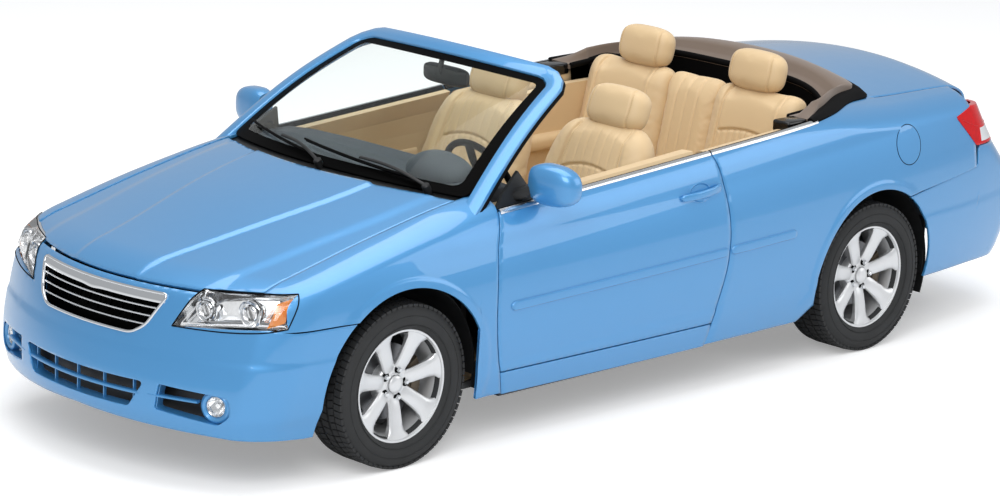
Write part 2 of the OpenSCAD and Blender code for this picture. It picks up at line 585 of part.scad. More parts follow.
// Side outlines of a front seat, its back and its head restraint
CUSHION = [[-700, 421], [-715, 500], [-670, 560], [-250, 515], [-215, 500], [-215, 421]];
BACK = [[-214.9, 421], [-214.9, 520], [-40, 1000], [-10, 1045], [60, 1040], [80, 985],
    [-80, 421]];
HEAD = [[18, 1046], [0, 1090], [20, 1185], [60, 1212], [120, 1200], [135, 1120], [100, 1050]];
module front_seat() translate([seat_x * width_scale, 0, 0]) {
    w = seat_width / 2 / width_scale;
    color(leather) {
        prism(CUSHION, -w, w);
        prism(BACK, -w, w);
        prism([for (p = HEAD) p], -150, 150);
        for (x = [-60, 60]) prism([[20, 1030], [20, 1060], [60, 1060], [60, 1030]], x - 8, x + 8);
    }
    color(plastic) for (x = [-w + 75, w - 60]) block([x, -660, floor_z + wall + 0.1],
        [x + 30, -240, 421]);
}
module front_seat_left() front_seat();
module front_seat_right() right() front_seat();

module rear_seat() color(leather) {
    prism([[330, 421], [330, 520], [370, 560], [800, 520], [800, 421]], -560, 560);
    mirror_copy() prism([[340, 210.4], [340, 420.5], [800, 420.5], [800, 210.4]], 160, 560);
    prism([[800.5, 421], [800.5, 530], [900, 1040], [930, 1075], [985, 1070], [985, 421]], -560, 560);
    mirror_copy() prism([[932, 1075.5], [900, 1110], [915, 1220], [950, 1246], [1000, 1235],
        [1015, 1150], [984, 1070.6]], 190, 480);
}
module centre_console() color(plastic) prism([[-860, 420.2], [-860, 640], [-800, 640],
    [-640, 540], [-200, 520], [-150, 420.2]], -92, 92);
module side_trims() mirror_copy() color(leather)
    prism([[270, 211], [270, 930], [800, 965], [980, 965], [980, 620], [893, 560],
        [893, 211]],
        601, 640);

// Cover over the folded roof, around the rear seats
function cover_out(u) = u < 0.5 ? [mix(708, 670, u * 2), mix(430, 1180, u * 2)]
    : [670 * cos(180 * (u - 0.5)), 1180 + 232 * sin(180 * (u - 0.5))];
function cover_in(u) = u < 0.5 ? [605, mix(420, 960, u * 2)]
    : [605 * cos(180 * (u - 0.5)), 960 + 100 * pow(sin(180 * (u - 0.5)), 0.6)];
function cover_height(y) = curve([[400, 1018], [900, 1062], [1200, 1075], [1420, 1060]], y);
function cover_ring(u, flip = 1) =
    let (o = cover_out(u), i = cover_in(u), ho = cover_height(o.y), hm = ho + 42 + (u > 0.5 ? 40
        * sin(180 * (u - 0.5)) : 0))
    [[flip * o.x, o.y, ho - 60], [flip * o.x, o.y, ho], [flip * mix(o.x, i.x, 0.4), mix(o.y, i.y,
        0.4), hm], [flip * i.x, i.y, hm - 10], [flip * i.x, i.y, ho - 60]];
module boot_cover() color("saddlebrown") {
    us = concat([for (u = [0 : 0.125 : 0.5]) u], [for (u = [0.5625 : 0.0625 : 1]) u]);
    half = [for (u = us) cover_ring(u)];
    other = [for (k = [len(us) - 2 : -1 : 0]) cover_ring(us[k], -1)];
    loft(concat(half, [for (r = other) r]));
    mirror_copy() block([600, 1090, 955.6], [650, 1110, 1030]);
}

/* Running gear */

module wheel_place(y, x = half_track) translate([x, y, hub_z]) rotate([0, 90, 0]) children();
// Rim, spokes, hub and disc turn together; the local Z axis is the axle
rim_half = tyre_width / 2 - 4;
bead_radius = rim_radius - 16;
hub_radius = 72;
module wheel() color(steel) {
    difference() {
        union() {
            rotate_extrude($fn = 64) polygon([[bead_radius - 6, -rim_half + 2], [rim_radius,
                -rim_half + 2], [rim_radius, -rim_half + 8], [bead_radius, -rim_half + 14],
                [bead_radius, rim_half - 14], [rim_radius, rim_half - 8], [rim_radius,
                rim_half - 2], [bead_radius - 6, rim_half - 2]]);
            translate([0, 0, 46]) cylinder(r = hub_radius, h = 36, $fn = 64);
            for (k = [0 : spoke_count - 1]) rotate([0, 0, k * 360 / spoke_count])
                translate([hub_radius - 10, -19, 60]) cube([bead_radius - hub_radius + 8, 38, 24]);
            translate([0, 0, 0]) cylinder(r = 60, h = 47, $fn = 48);
            translate([0, 0, 0]) cylinder(r = 148, h = 20, $fn = 64);
        }
        translate([0, 0, -1]) cylinder(r = stub_radius + running_fit, h = 61, $fn = 48);
    }
}
module tyre() color("black") rotate_extrude($fn = 64) polygon([[rim_radius + 0.3, -rim_half + 8],
    [rim_radius + 30, -tyre_width / 2], [tyre_radius - 34, -tyre_width / 2], [tyre_radius - 10,
    -tyre_width / 2 + 14], [tyre_radius, -tyre_width / 2 + 34], [tyre_radius, tyre_width / 2 - 34],
    [tyre_radius - 10, tyre_width / 2 - 14], [tyre_radius - 34, tyre_width / 2], [rim_radius + 30,
    tyre_width / 2], [rim_radius + 0.3, rim_half - 8], [bead_radius + 0.3, rim_half - 14.5],
    [bead_radius + 0.3, -rim_half + 14.5]]);
module wheel_front_left() wheel_place(front_axle) wheel();
module tyre_front_left() wheel_place(front_axle) tyre();
module wheel_front_right() right() wheel_front_left();
module tyre_front_right() right() tyre_front_left();
module wheel_rear_left() wheel_place(rear_axle) wheel();
module tyre_rear_left() wheel_place(rear_axle) tyre();
module wheel_rear_right() right() wheel_rear_left();
module tyre_rear_right() right() tyre_rear_left();

// Steering swivel: its two ball joints lie on one upright line inside the rim
kingpin_x = 690;
ball_radius = 14;
ball_low = -130;
strut_top = 719.5;
ball_high = 120;
module knuckle() color("dimgray") {
    difference() {
        union() {
            translate([kingpin_x - 22, front_axle - 30, hub_z + ball_low]) cube([44, 60,
                ball_high - ball_low]);
            wheel_place(front_axle, kingpin_x + 21) cylinder(r = 38, h = half_track - kingpin_x
                - 25, $fn = 40);
            wheel_place(front_axle, kingpin_x) cylinder(r = stub_radius, h = half_track + 56
                - kingpin_x, $fn = 48);
            // Brake caliper over the front edge of the disc
            translate([half_track - 58, front_axle - 160, hub_z - 60]) cube([53, 60, 120]);
            translate([half_track - 58, front_axle - 101, hub_z - 20]) cube([30, 75, 40]);
        }
        for (z = [ball_low - 1, ball_high - 29]) translate([kingpin_x, front_axle, hub_z + z])
            cylinder(r = ball_radius + running_fit, h = 30, $fn = 40);
    }
}
module knuckle_left() knuckle();
module knuckle_right() right() knuckle();

module front_suspension() color("dimgray") {
    block([-360, -1560, 167], [360, -1400, 230]);
    mirror_copy() {
        // Lower arm with its ball pin
        translate([359.9, front_axle - 30, hub_z + ball_low - 40]) cube([kingpin_x - 340, 60, 25]);
        translate([kingpin_x, front_axle, hub_z + ball_low - 30]) cylinder(r = ball_radius,
            h = 56, $fn = 40);
        // Upper arm, seated on the body rail
        translate([house_x * width_scale + 0.1, front_axle - 25, hub_z + ball_high + 15])
            cube([kingpin_x + 15 - house_x * width_scale, 50, 20]);
        translate([kingpin_x, front_axle, hub_z + ball_high - 26]) cylinder(r = ball_radius,
            h = 50, $fn = 40);
        // Spring leg
        translate([500, front_axle + 25, hub_z + ball_high + 35.5])
            cylinder(r = 45, h = strut_top * height_scale - hub_z - ball_high - 36,
            $fn = 32);
    }
}
module rear_axle() color("dimgray") {
    block([-420, 1130, 250], [420, 1290, 330]);
    mirror_copy() {
        translate(at([370, 1210, 329])) cylinder(r = 50, h = 90.4 * height_scale, $fn = 32);
        translate([419.9, rear_axle - 40, hub_z - 30]) cube([225, 80, 60]);
        wheel_place(rear_axle, 600) cylinder(r = stub_radius, h = half_track + 56 - 600,
            $fn = 48);
        wheel_place(rear_axle, 644) cylinder(r = 38, h = half_track - 648, $fn = 40);
        translate([half_track - 58, rear_axle - 160, hub_z - 60]) cube([53, 60, 120]);
        translate([half_track - 100, rear_axle - 101, hub_z - 20]) cube([60, 75, 40]);
    }
}

pipe_x = -480;
pipe_z = 204;
module exhaust() color(steel) {
    difference() {
        union() {
            translate([pipe_x, 2190, pipe_z]) rotate([-90, 0, 0]) cylinder(r = tail_pipe_radius,
                h = 170, $fn = 40);
            block([-560, 1880, 165], [-200, 2191, 300]);
            block([-420, 1980, 299], [-340, 2080, 419.5]);
        }
        translate([pipe_x, 2230, pipe_z]) rotate([-90, 0, 0]) cylinder(r = tail_pipe_radius
            - tail_pipe_wall, h = 140, $fn = 40);
    }
    // Front pipe below the tunnel
    translate([-300, -900, floor_z - 28.5]) rotate([-90, 0, 0]) cylinder(r = 28, h = 1200,
        $fn = 32);
}
module fuel_tank() color(plastic) block([-500, 420, 130], [500, 800, floor_z - 0.1]);
module engine() color("gray") block([-300, -1900, 230.4], [300, -1240, 760]);

underbody();
front_fender_left();
front_fender_right();
quarter_panel_left();
quarter_panel_right();
front_bumper();
rear_bumper();
grille();
headlights();
tail_lights();
fog_lights();
sills();
windscreen_frame();
windscreen();
cowl_panel();
wipers();
dashboard();
interior_mirror();
front_seat_left();
front_seat_right();
rear_seat();
centre_console();
side_trims();
boot_cover();
front_suspension();
rear_axle();
exhaust();
fuel_tank();
engine();
door_left();
door_trim_left();
mirror_left();
door_right();
door_trim_right();
mirror_right();
bonnet();
trunk_lid();
steering_wheel();
knuckle_left();
knuckle_right();
wheel_front_left();
tyre_front_left();
wheel_front_right();
tyre_front_right();
wheel_rear_left();
tyre_rear_left();
wheel_rear_right();
tyre_rear_right();
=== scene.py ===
import json
import logging
import math
from dataclasses import dataclass, field
from enum import Enum
from typing import Callable, Sequence

import bmesh
import bpy
import numpy as np
from mathutils import Matrix, Vector
from mathutils.bvhtree import BVHTree

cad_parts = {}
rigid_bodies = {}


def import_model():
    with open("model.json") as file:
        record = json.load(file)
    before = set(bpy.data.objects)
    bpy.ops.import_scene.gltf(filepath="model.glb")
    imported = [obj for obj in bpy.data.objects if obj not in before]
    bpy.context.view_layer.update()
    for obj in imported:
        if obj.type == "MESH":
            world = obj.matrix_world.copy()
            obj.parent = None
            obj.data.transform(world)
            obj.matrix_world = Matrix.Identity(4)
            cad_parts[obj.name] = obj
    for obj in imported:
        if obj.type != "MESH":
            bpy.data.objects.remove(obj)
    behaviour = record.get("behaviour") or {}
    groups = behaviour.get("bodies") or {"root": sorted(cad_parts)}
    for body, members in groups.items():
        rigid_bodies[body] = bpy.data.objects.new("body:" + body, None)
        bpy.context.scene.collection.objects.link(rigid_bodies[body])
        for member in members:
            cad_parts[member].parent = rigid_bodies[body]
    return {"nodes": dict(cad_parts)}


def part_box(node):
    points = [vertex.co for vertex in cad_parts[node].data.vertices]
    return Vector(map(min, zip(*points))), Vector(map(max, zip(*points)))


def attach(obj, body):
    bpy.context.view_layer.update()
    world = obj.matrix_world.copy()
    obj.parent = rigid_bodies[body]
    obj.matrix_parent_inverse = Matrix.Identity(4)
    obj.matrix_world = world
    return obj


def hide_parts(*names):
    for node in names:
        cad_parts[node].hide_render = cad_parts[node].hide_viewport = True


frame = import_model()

LOG = logging.getLogger("convertible")
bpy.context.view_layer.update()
MM = 0.001
Grid = np.ndarray


class Side(Enum):
    """The car's two sides, as the sign of their X."""

    LEFT = 1
    RIGHT = -1

    @property
    def word(self) -> str:
        """Name of the side as the frame's nodes spell it."""
        return self.name.lower()


class End(Enum):
    """Front and rear end of the car, as the sign of their Y."""

    FRONT = -1
    REAR = 1


# ---------------------------------------------------------------- materials


def linear(code: str) -> tuple[float, float, float, float]:
    """Turns an sRGB hex colour into linear RGBA.

    Args:
        code: Six hex digits.

    Returns:
        The linear colour with full alpha.
    """
    parts = [int(code[i:i + 2], 16) / 255 for i in (0, 2, 4)]
    return tuple(c / 12.92 if c <= 0.04045 else ((c + 0.055) / 1.055) ** 2.4 for c in parts) + (1.0,)


def add(tree: bpy.types.NodeTree, kind: str, inputs: dict | None = None, **settings) -> bpy.types.Node:
    """Adds a node with its settings and links.

    Args:
        tree: Node tree that gets the node.
        kind: Type name of the node.
        inputs: Socket name or index to a value or to another node's output socket.
        settings: Properties of the node.

    Returns:
        The new node.
    """
    node = tree.nodes.new(kind)
    for key, value in settings.items():
        setattr(node, key, value)
    for key, value in (inputs or {}).items():
        if isinstance(value, bpy.types.NodeSocket):
            tree.links.new(value, node.inputs[key])
        else:
            node.inputs[key].default_value = value
    return node


@dataclass(frozen=True)
class Finish:
    """A surface finish with a fine bump and a slight unevenness of its gloss."""

    name: str
    colour: str
    roughness: float = 0.5
    metallic: float = 0.0
    coat: float = 0.0
    coat_roughness: float = 0.03
    ior: float = 1.5
    sheen: float = 0.0
    grain_mm: float = 0.0
    grain_depth_mm: float = 0.0
    cells: bool = False
    shade: str = ""
    shade_mm: float = 200.0
    uneven: float = 0.05
    transmission: float = 0.0
    glow: float = 0.0
    alpha: float = 1.0

    def build(self) -> bpy.types.Material:
        """Builds the node material once and returns it.

        Returns:
            The material of this finish.
        """
        found = bpy.data.materials.get(self.name)
        if found:
            return found
        material = bpy.data.materials.new(self.name)
        material.use_nodes = True
        tree = material.node_tree
        shader = tree.nodes["Principled BSDF"]
        shader.inputs["Base Color"].default_value = linear(self.colour)
        shader.inputs["Roughness"].default_value = self.roughness
        shader.inputs["Metallic"].default_value = self.metallic
        shader.inputs["Coat Weight"].default_value = self.coat
        shader.inputs["Coat Roughness"].default_value = self.coat_roughness
        shader.inputs["Sheen Weight"].default_value = self.sheen
        shader.inputs["Transmission Weight"].default_value = self.transmission
        shader.inputs["Alpha"].default_value = self.alpha
        if self.metallic == 0:
            shader.inputs["IOR"].default_value = self.ior
        place = add(tree, "ShaderNodeTexCoord").outputs["Object"]
        if self.shade:
            cloud = add(tree, "ShaderNodeTexNoise", {"Vector": place, "Scale": 1000 / self.shade_mm,
                                                     "Detail": 3.0})
            mixed = add(tree, "ShaderNodeMix", {"Factor": cloud.outputs["Fac"], 6: linear(self.colour),
                                                7: linear(self.shade)}, data_type="RGBA")
            tree.links.new(mixed.outputs[2], shader.inputs["Base Color"])
        if self.uneven and not self.transmission:
            smudge = add(tree, "ShaderNodeTexNoise", {"Vector": place, "Scale": 14.0, "Detail": 4.0})
            spread = add(tree, "ShaderNodeMapRange", {"Value": smudge.outputs["Fac"],
                                                      "To Min": self.roughness - self.uneven,
                                                      "To Max": self.roughness + self.uneven})
            tree.links.new(spread.outputs["Result"], shader.inputs["Roughness"])
        if self.grain_mm:
            scale = 1000 / self.grain_mm
            if self.cells:
                grain = add(tree, "ShaderNodeTexVoronoi", {"Vector": place, "Scale": scale},
                            feature="SMOOTH_F1")
                height = grain.outputs["Distance"]
            else:
                grain = add(tree, "ShaderNodeTexNoise", {"Vector": place, "Scale": scale, "Detail": 2.0})
                height = grain.outputs["Fac"]
            bump = add(tree, "ShaderNodeBump", {"Height": height, "Strength": 0.6,
                                                "Distance": self.grain_depth_mm * MM})
            tree.links.new(bump.outputs["Normal"], shader.inputs["Normal"])
        return material


# Basecoat with fine metal flakes under clear lacquer: a soft bright sheen below a sharp gloss
PAINT = Finish("metallic_paint_sprayed", "4791C9", 0.4, 0.4, coat=1.0, coat_roughness=0.02,
               grain_mm=0.9, grain_depth_mm=0.004, cells=True, uneven=0.03)
# Steel plated with chromium: a clean mirror
CHROME = Finish("chromium_plated_steel", "D8DADC", 0.08, 1.0, uneven=0.03)
# Brightened aluminium strip: a mirror blurred along its length
BRIGHT_TRIM = Finish("brightened_aluminium_rolled", "D2D4D6", 0.2, 1.0, uneven=0.05)
# Cast aluminium under silver lacquer: bright but soft
ALLOY = Finish("aluminium_alloy_cast_lacquered", "D9DADB", 0.36, 0.6, coat=0.6, grain_mm=1.2,
               grain_depth_mm=0.01)
# Filled rubber, moulded: near black with a dull grey bloom
RUBBER = Finish("natural_rubber_vulcanised", "1B1C1D", 0.72, grain_mm=1.5, grain_depth_mm=0.05,
                shade="252627", shade_mm=60)
SEAL = Finish("epdm_rubber_extruded", "060607", 0.7, ior=1.2)
# Ceramic ink fired onto the glass: black, and only as glossy as the pane above it
INK = Finish("ceramic_ink_fired_black", "030303", 0.5, ior=1.1)
# Polypropylene moulded with a fine grain, which scatters light softly
BLACK_PLASTIC = Finish("polypropylene_moulded_black", "141516", 0.5, grain_mm=1.0,
                       grain_depth_mm=0.03, cells=True)
GLOSS_BLACK = Finish("abs_moulded_black", "08090A", 0.18, uneven=0.02)
DASH = Finish("abs_moulded_slate_grained", "3B424A", 0.55, grain_mm=2.0, grain_depth_mm=0.06,
              cells=True, shade="353B42")
# Corrected cowhide, tanned and dyed: fine pores and a low satin sheen
LEATHER = Finish("cowhide_leather_dyed_beige", "D9BE94", 0.5, sheen=0.15, grain_mm=2.6,
                 grain_depth_mm=0.1, cells=True, shade="D2B58A", shade_mm=260, uneven=0.06)
THREAD = Finish("polyester_thread_twisted", "B99B6C", 0.8)
# Woven acrylic roof cloth over foam: matt with a slight fuzz
COVER = Finish("acrylic_cloth_woven_brown", "6E5E52", 0.75, sheen=0.3, grain_mm=1.6,
               grain_depth_mm=0.12, shade="675749")
IRON = Finish("cast_iron_turned", "7C7D7F", 0.38, 0.9, grain_mm=1.4, grain_depth_mm=0.03)
CALIPER = Finish("cast_iron_passivated", "6A5F50", 0.5, 0.5, shade="54493C", shade_mm=40)
STEEL = Finish("mild_steel_drawn", "8A8C8E", 0.35, 0.9)
COATED = Finish("mild_steel_wax_coated", "1D1E20", 0.6, grain_mm=6.0, grain_depth_mm=0.2,
                shade="26272A")
CARPET = Finish("nylon_carpet_tufted", "8A7657", 0.95, sheen=0.3, grain_mm=3.0, grain_depth_mm=0.8)
# Clear moulded polycarbonate: it lets light through and mirrors the sky
LENS = Finish("polycarbonate_moulded_clear", "FFFFFF", 0.02, ior=1.58, transmission=1.0)
GLASS = Finish("float_glass_laminated", "F2F8F6", 0.0, ior=1.16, transmission=1.0)
RED_LENS = Finish("acrylic_moulded_red", "D8000A", 0.1, coat=0.25, ior=1.25, uneven=0.02, shade="A80007",
                  shade_mm=30)
WHITE_LENS = Finish("acrylic_moulded_white", "D5D8DA", 0.12, coat=1.0, uneven=0.02)
AMBER_LENS = Finish("acrylic_moulded_amber", "F08A00", 0.12, coat=0.2, uneven=0.02)
REFLECTOR = Finish("aluminium_vapour_deposited", "E4E6E8", 0.12, 1.0, uneven=0.05)
MIRROR = Finish("float_glass_silvered", "F0F2F3", 0.01, 1.0, uneven=0.0)


# ---------------------------------------------------------------- body surface


@dataclass
class BodyShape:
    """The car body's skin as a formula, in millimetres, shared by all its panels."""

    front_axle: float = -1480.0
    rear_axle: float = 1212.0
    hub_z: float = 322.0
    arch_radius: float = 388.0
    gap: float = 6.0
    plan: tuple = ((-2410, 775), (-2000, 822), (-1480, 868), (-900, 882), (900, 882), (1500, 858),
                   (2000, 795), (2410, 710))
    shoulder: tuple = ((-2410, 665), (-2000, 750), (-1500, 865), (-1080, 942), (-600, 965), (0, 1000),
                       (870, 1045), (1400, 1005), (2100, 965), (2410, 920))
    nose_line: tuple = ((150, -2355), (240, -2386), (370, -2390), (500, -2365), (600, -2338),
                        (700, -2300), (800, -2240))
    tail_line: tuple = ((150, 2250), (263, 2342), (400, 2400), (540, 2410), (620, 2395), (700, 2320),
                        (775, 2250), (958, 2140), (1060, 2100))
    nose_curve: float = 0.000406
    tail_curve: float = 0.00018
    rounding: tuple = (85.0, 50.0, 130.0, 120.0)
    door_front_line: tuple = ((190, -958), (280, -987), (450, -1030), (597, -1042), (780, -1020),
                              (926, -966), (1000, -935))
    door_rear_line: tuple = ((190, 160), (299, 185), (369, 201), (550, 243), (743, 250), (880, 232),
                             (998, 208), (1100, 190))
    bumper_seam: float = 618.0
    rear_seam: float = 655.0
    sill: float = 207.0
    corner_x: float = 600.0

    @staticmethod
    def curve(table: Sequence, x: Grid) -> Grid:
        """Smooth curve through a table of positions and values.

        Args:
            table: Pairs of position and value, in order.
            x: Where to read it.

        Returns:
            The values at x.
        """
        t = np.array([a for a, _ in table], float)
        v = np.array([b for _, b in table], float)
        h, d = np.diff(t), np.diff(v) / np.diff(t)
        m = np.empty(len(t))
        m[0], m[-1] = d[0], d[-1]
        m[1:-1] = (h[1:] * d[:-1] + h[:-1] * d[1:]) / (h[1:] + h[:-1])
        x = np.clip(np.asarray(x, float), t[0], t[-1])
        i = np.clip(np.searchsorted(t, x, side="right") - 1, 0, len(t) - 2)
        s = (x - t[i]) / h[i]
        return ((1 + 2 * s) * (1 - s) ** 2 * v[i] + s * (1 - s) ** 2 * h[i] * m[i]
                + s * s * (3 - 2 * s) * v[i + 1] + s * s * (s - 1) * h[i] * m[i + 1])

    @staticmethod
    def belt(y: Grid) -> Grid:
        """Height of the belt line at station y."""
        return 918 + 0.0624 * (np.asarray(y, float) + 971)

    def half_width(self, y: Grid, z: Grid) -> Grid:
        """Half width of the body side before its edges are rounded."""
        up = np.clip((z - 600) / (self.belt(np.clip(y, -1300, 1000)) - 600), 0, None)
        low = np.clip(600 - z, 0, None)
        return self.curve(self.plan, y) - 88 * up * up - 0.00032 * low * low

    def top(self, x: Grid, y: Grid) -> Grid:
        """Height of the bonnet and deck before their edges are rounded."""
        crown = 0.0001 + 0.00008 * np.clip((y + 900) / 1800, 0, 1)
        return self.curve(self.shoulder, y) + crown * (790.0 ** 2 - x * x)

    def nose(self, x: Grid, z: Grid) -> Grid:
        """Station of the nose."""
        return self.curve(self.nose_line, z) + self.nose_curve * x * x

    def tail(self, x: Grid, z: Grid) -> Grid:
        """Station of the tail."""
        return self.curve(self.tail_line, z) - self.tail_curve * x * x

    def skin(self, p: Grid) -> Grid:
        """Below zero inside the body, zero on its skin.

        Args:
            p: Points with a last axis of three.

        Returns:
            The value at each point.
        """
        x, y, z = p[..., 0], p[..., 1], p[..., 2]
        sides = (np.abs(x) - self.half_width(y, z), z - self.top(x, y), self.nose(x, z) - y,
                 y - self.tail(x, z))
        return np.sqrt(sum(np.clip(1 + s / r, 0, None) ** 2 for s, r in zip(sides, self.rounding))) - 1

    def reach(self, o: Grid, d: Grid, far: float = 900.0) -> Grid:
        """Distance from o along d to the skin.

        Args:
            o: Start points inside the body.
            d: Directions.
            far: A distance that is outside.

        Returns:
            The distances.
        """
        a = np.zeros(o.shape[:-1])
        b = np.full(o.shape[:-1], far)
        for _ in range(26):
            m = (a + b) / 2
            inside = self.skin(o + m[..., None] * d) < 0
            a, b = np.where(inside, m, a), np.where(inside, b, m)
        return (a + b) / 2

    def hit(self, o: Grid, d: Grid, depth: float | Grid = 0.0, far: float = 900.0) -> Grid:
        """Point where the ray from o meets the skin, drawn back by depth."""
        o, d = np.broadcast_arrays(np.asarray(o, float), np.asarray(d, float))
        return o + (self.reach(o, d, far) - depth)[..., None] * d

    def side(self, y: Grid, z: Grid, depth: float | Grid = 0.0) -> Grid:
        """Points on the body side at stations y and heights z."""
        y, z = np.broadcast_arrays(np.asarray(y, float), np.asarray(z, float))
        o = np.stack([np.full_like(y, 300.0), y, z], -1)
        return self.hit(o, np.array([1.0, 0, 0]), depth)

    @staticmethod
    def seam_x(y: Grid) -> Grid:
        """Edge of the bonnet and of the boot lid."""
        y = np.asarray(y, float)
        return np.where(y < 0, 672.0, 633 + (600 - 633) * (y - 1425) / 600)

    def pivot_z(self, y: Grid) -> Grid:
        """Height from which the rays over the shoulder start."""
        return self.top(self.seam_x(y), y) - 100

    def over(self, y: Grid, q: Grid, depth: float = 0.0, edge: float = 0.0) -> Grid:
        """Points over the shoulder, q from 0 at the side to 1 at the seam."""
        y, q = np.broadcast_arrays(np.asarray(y, float), np.asarray(q, float))
        a = np.pi / 2 * q
        o = np.stack([self.seam_x(y) + edge, y, self.pivot_z(y)], -1)
        return self.hit(o, np.stack([np.cos(a), 0 * a, np.sin(a)], -1), depth, 400)

    def ring(self, end: End, s: Grid, z: Grid, depth: float = 0.0, run: float | Grid = 200.0) -> Grid:
        """Points around an end of the car.

        Args:
            end: Nose or tail.
            s: 0 on the centre line, 1 at the corner's end, 2 at the end of the run, negative on the right.
            z: Heights.
            depth: Distance below the skin.
            run: Length of the straight run along the side.

        Returns:
            The points.
        """
        s, z, run = np.broadcast_arrays(*(np.asarray(v, float) for v in (s, z, run)))
        k = np.abs(s)
        a = np.clip(2 * k - 1, 0, 1) * np.pi / 2
        start = -1930 if end is End.FRONT else 1940
        o = np.stack([self.corner_x * np.minimum(1, 2 * k), start - end.value * np.clip(k - 1, 0, 1) * run,
                      z], -1)
        p = self.hit(o, np.stack([np.sin(a), end.value * np.cos(a), 0 * a], -1), depth)
        p[..., 0] *= np.where(s < 0, -1, 1)
        return p

    def above(self, x: Grid, y: Grid, depth: float = 0.0) -> Grid:
        """Points on the top of the body above x and y."""
        x, y = np.broadcast_arrays(np.asarray(x, float), np.asarray(y, float))
        o = np.stack([x, y, np.full_like(x, 400.0)], -1)
        return self.hit(o, np.array([0, 0, 1.0]), depth)

    def door_front(self, z: Grid) -> Grid:
        """Station of the door's front seam at height z."""
        return self.curve(self.door_front_line, z)

    def door_rear(self, z: Grid) -> Grid:
        """Station of the door's rear seam at height z."""
        return self.curve(self.door_rear_line, z)

    def arch(self, axle: float, degrees: Grid, grow: float = 0.0) -> Grid:
        """Points (y, z) on a wheel arch."""
        a = np.radians(degrees)
        r = self.arch_radius + grow
        return np.stack([axle - r * np.cos(a), self.hub_z + r * np.sin(a)], -1)

    def normal(self, p: Grid) -> Grid:
        """Outward unit normal of the skin near p."""
        steps = np.eye(3) * 0.5
        g = np.stack([self.skin(p + e) - self.skin(p - e) for e in steps], -1)
        return g / np.linalg.norm(g, axis=-1, keepdims=True)


SHAPE = BodyShape()


def mix(a: Grid | float, b: Grid | float, t: Grid | float) -> Grid:
    """Linear mix of a and b."""
    return a + (b - a) * t


def smooth(x: Grid) -> Grid:
    """Smooth step of x from 0 to 1."""
    x = np.clip(x, 0, 1)
    return x * x * (3 - 2 * x)


# ---------------------------------------------------------------- mesh helpers


def new_piece(name: str, verts: Sequence, faces: Sequence, finish: Finish, body: str,
              slot: str, auto: float = 40.0) -> bpy.types.Object:
    """Makes a mesh object from points in millimetres and lets it ride on a body.

    Args:
        name: Name of the piece.
        verts: Points.
        faces: Lists of point numbers.
        finish: Finish of the surface.
        body: Body that carries the piece.
        slot: Not used.
        auto: Edges steeper than this many degrees are sharp.

    Returns:
        The object.
    """
    mesh = bpy.data.meshes.new(name)
    mesh.from_pydata((np.asarray(verts, float) * MM).tolist(), [], [list(map(int, f)) for f in faces])
    mesh.materials.append(finish.build())
    obj = bpy.data.objects.new(name, mesh)
    bpy.context.scene.collection.objects.link(obj)
    shade(obj, auto)
    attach(obj, body)
    return obj


def shade(obj: bpy.types.Object, degrees: float) -> None:
    """Shades a mesh smooth, with edges sharp past an angle."""
    mesh = obj.data
    mesh.polygons.foreach_set("use_smooth", np.ones(len(mesh.polygons), bool))
    mesh.set_sharp_from_angle(angle=math.radians(degrees))
    mesh.update()


def bake(obj: bpy.types.Object, auto: float = 40.0) -> bpy.types.Object:
    """Turns an object's modifiers into its mesh.

    Args:
        obj: The object.
        auto: Angle of its sharp edges.

    Returns:
        The same object.
    """
    deps = bpy.context.evaluated_depsgraph_get()
    mesh = bpy.data.meshes.new_from_object(obj.evaluated_get(deps))
    obj.modifiers.clear()
    obj.data = mesh
    shade(obj, auto)
    return obj


def grid_faces(n: int, m: int, wrap_n: bool = False, wrap_m: bool = False, start: int = 0) -> list:
    """Quads of an n by m grid of points.

    Args:
        n: Rows.
        m: Points in a row.
        wrap_n: Joins the last row to the first.
        wrap_m: Joins each row's end to its start.
        start: Number of the first point.

    Returns:
        The faces.
    """
    rows = n if wrap_n else n - 1
    cols = m if wrap_m else m - 1
    return [(start + i * m + j, start + i * m + (j + 1) % m, start + (i + 1) % n * m + (j + 1) % m,
             start + (i + 1) % n * m + j) for i in range(rows) for j in range(cols)]


def slab(outer: Grid, inner: Grid) -> tuple[Grid, list]:
    """Closed solid between an outer and an inner grid of points.

    Args:
        outer: Grid on the outside.
        inner: Grid on the inside, of the same size.

    Returns:
        The points and faces.
    """
    n, m, _ = outer.shape
    size = n * m
    faces = grid_faces(n, m) + [tuple(reversed(f)) for f in grid_faces(n, m, start=size)]
    rim = [i * m for i in range(n)] + [(n - 1) * m + j for j in range(1, m)]
    rim += [i * m + m - 1 for i in range(n - 2, -1, -1)] + list(range(m - 2, 0, -1))
    faces += [(rim[(k + 1) % len(rim)] , rim[k], rim[k] + size, rim[(k + 1) % len(rim)] + size)
              for k in range(len(rim))]
    return np.concatenate([outer.reshape(-1, 3), inner.reshape(-1, 3)]), faces


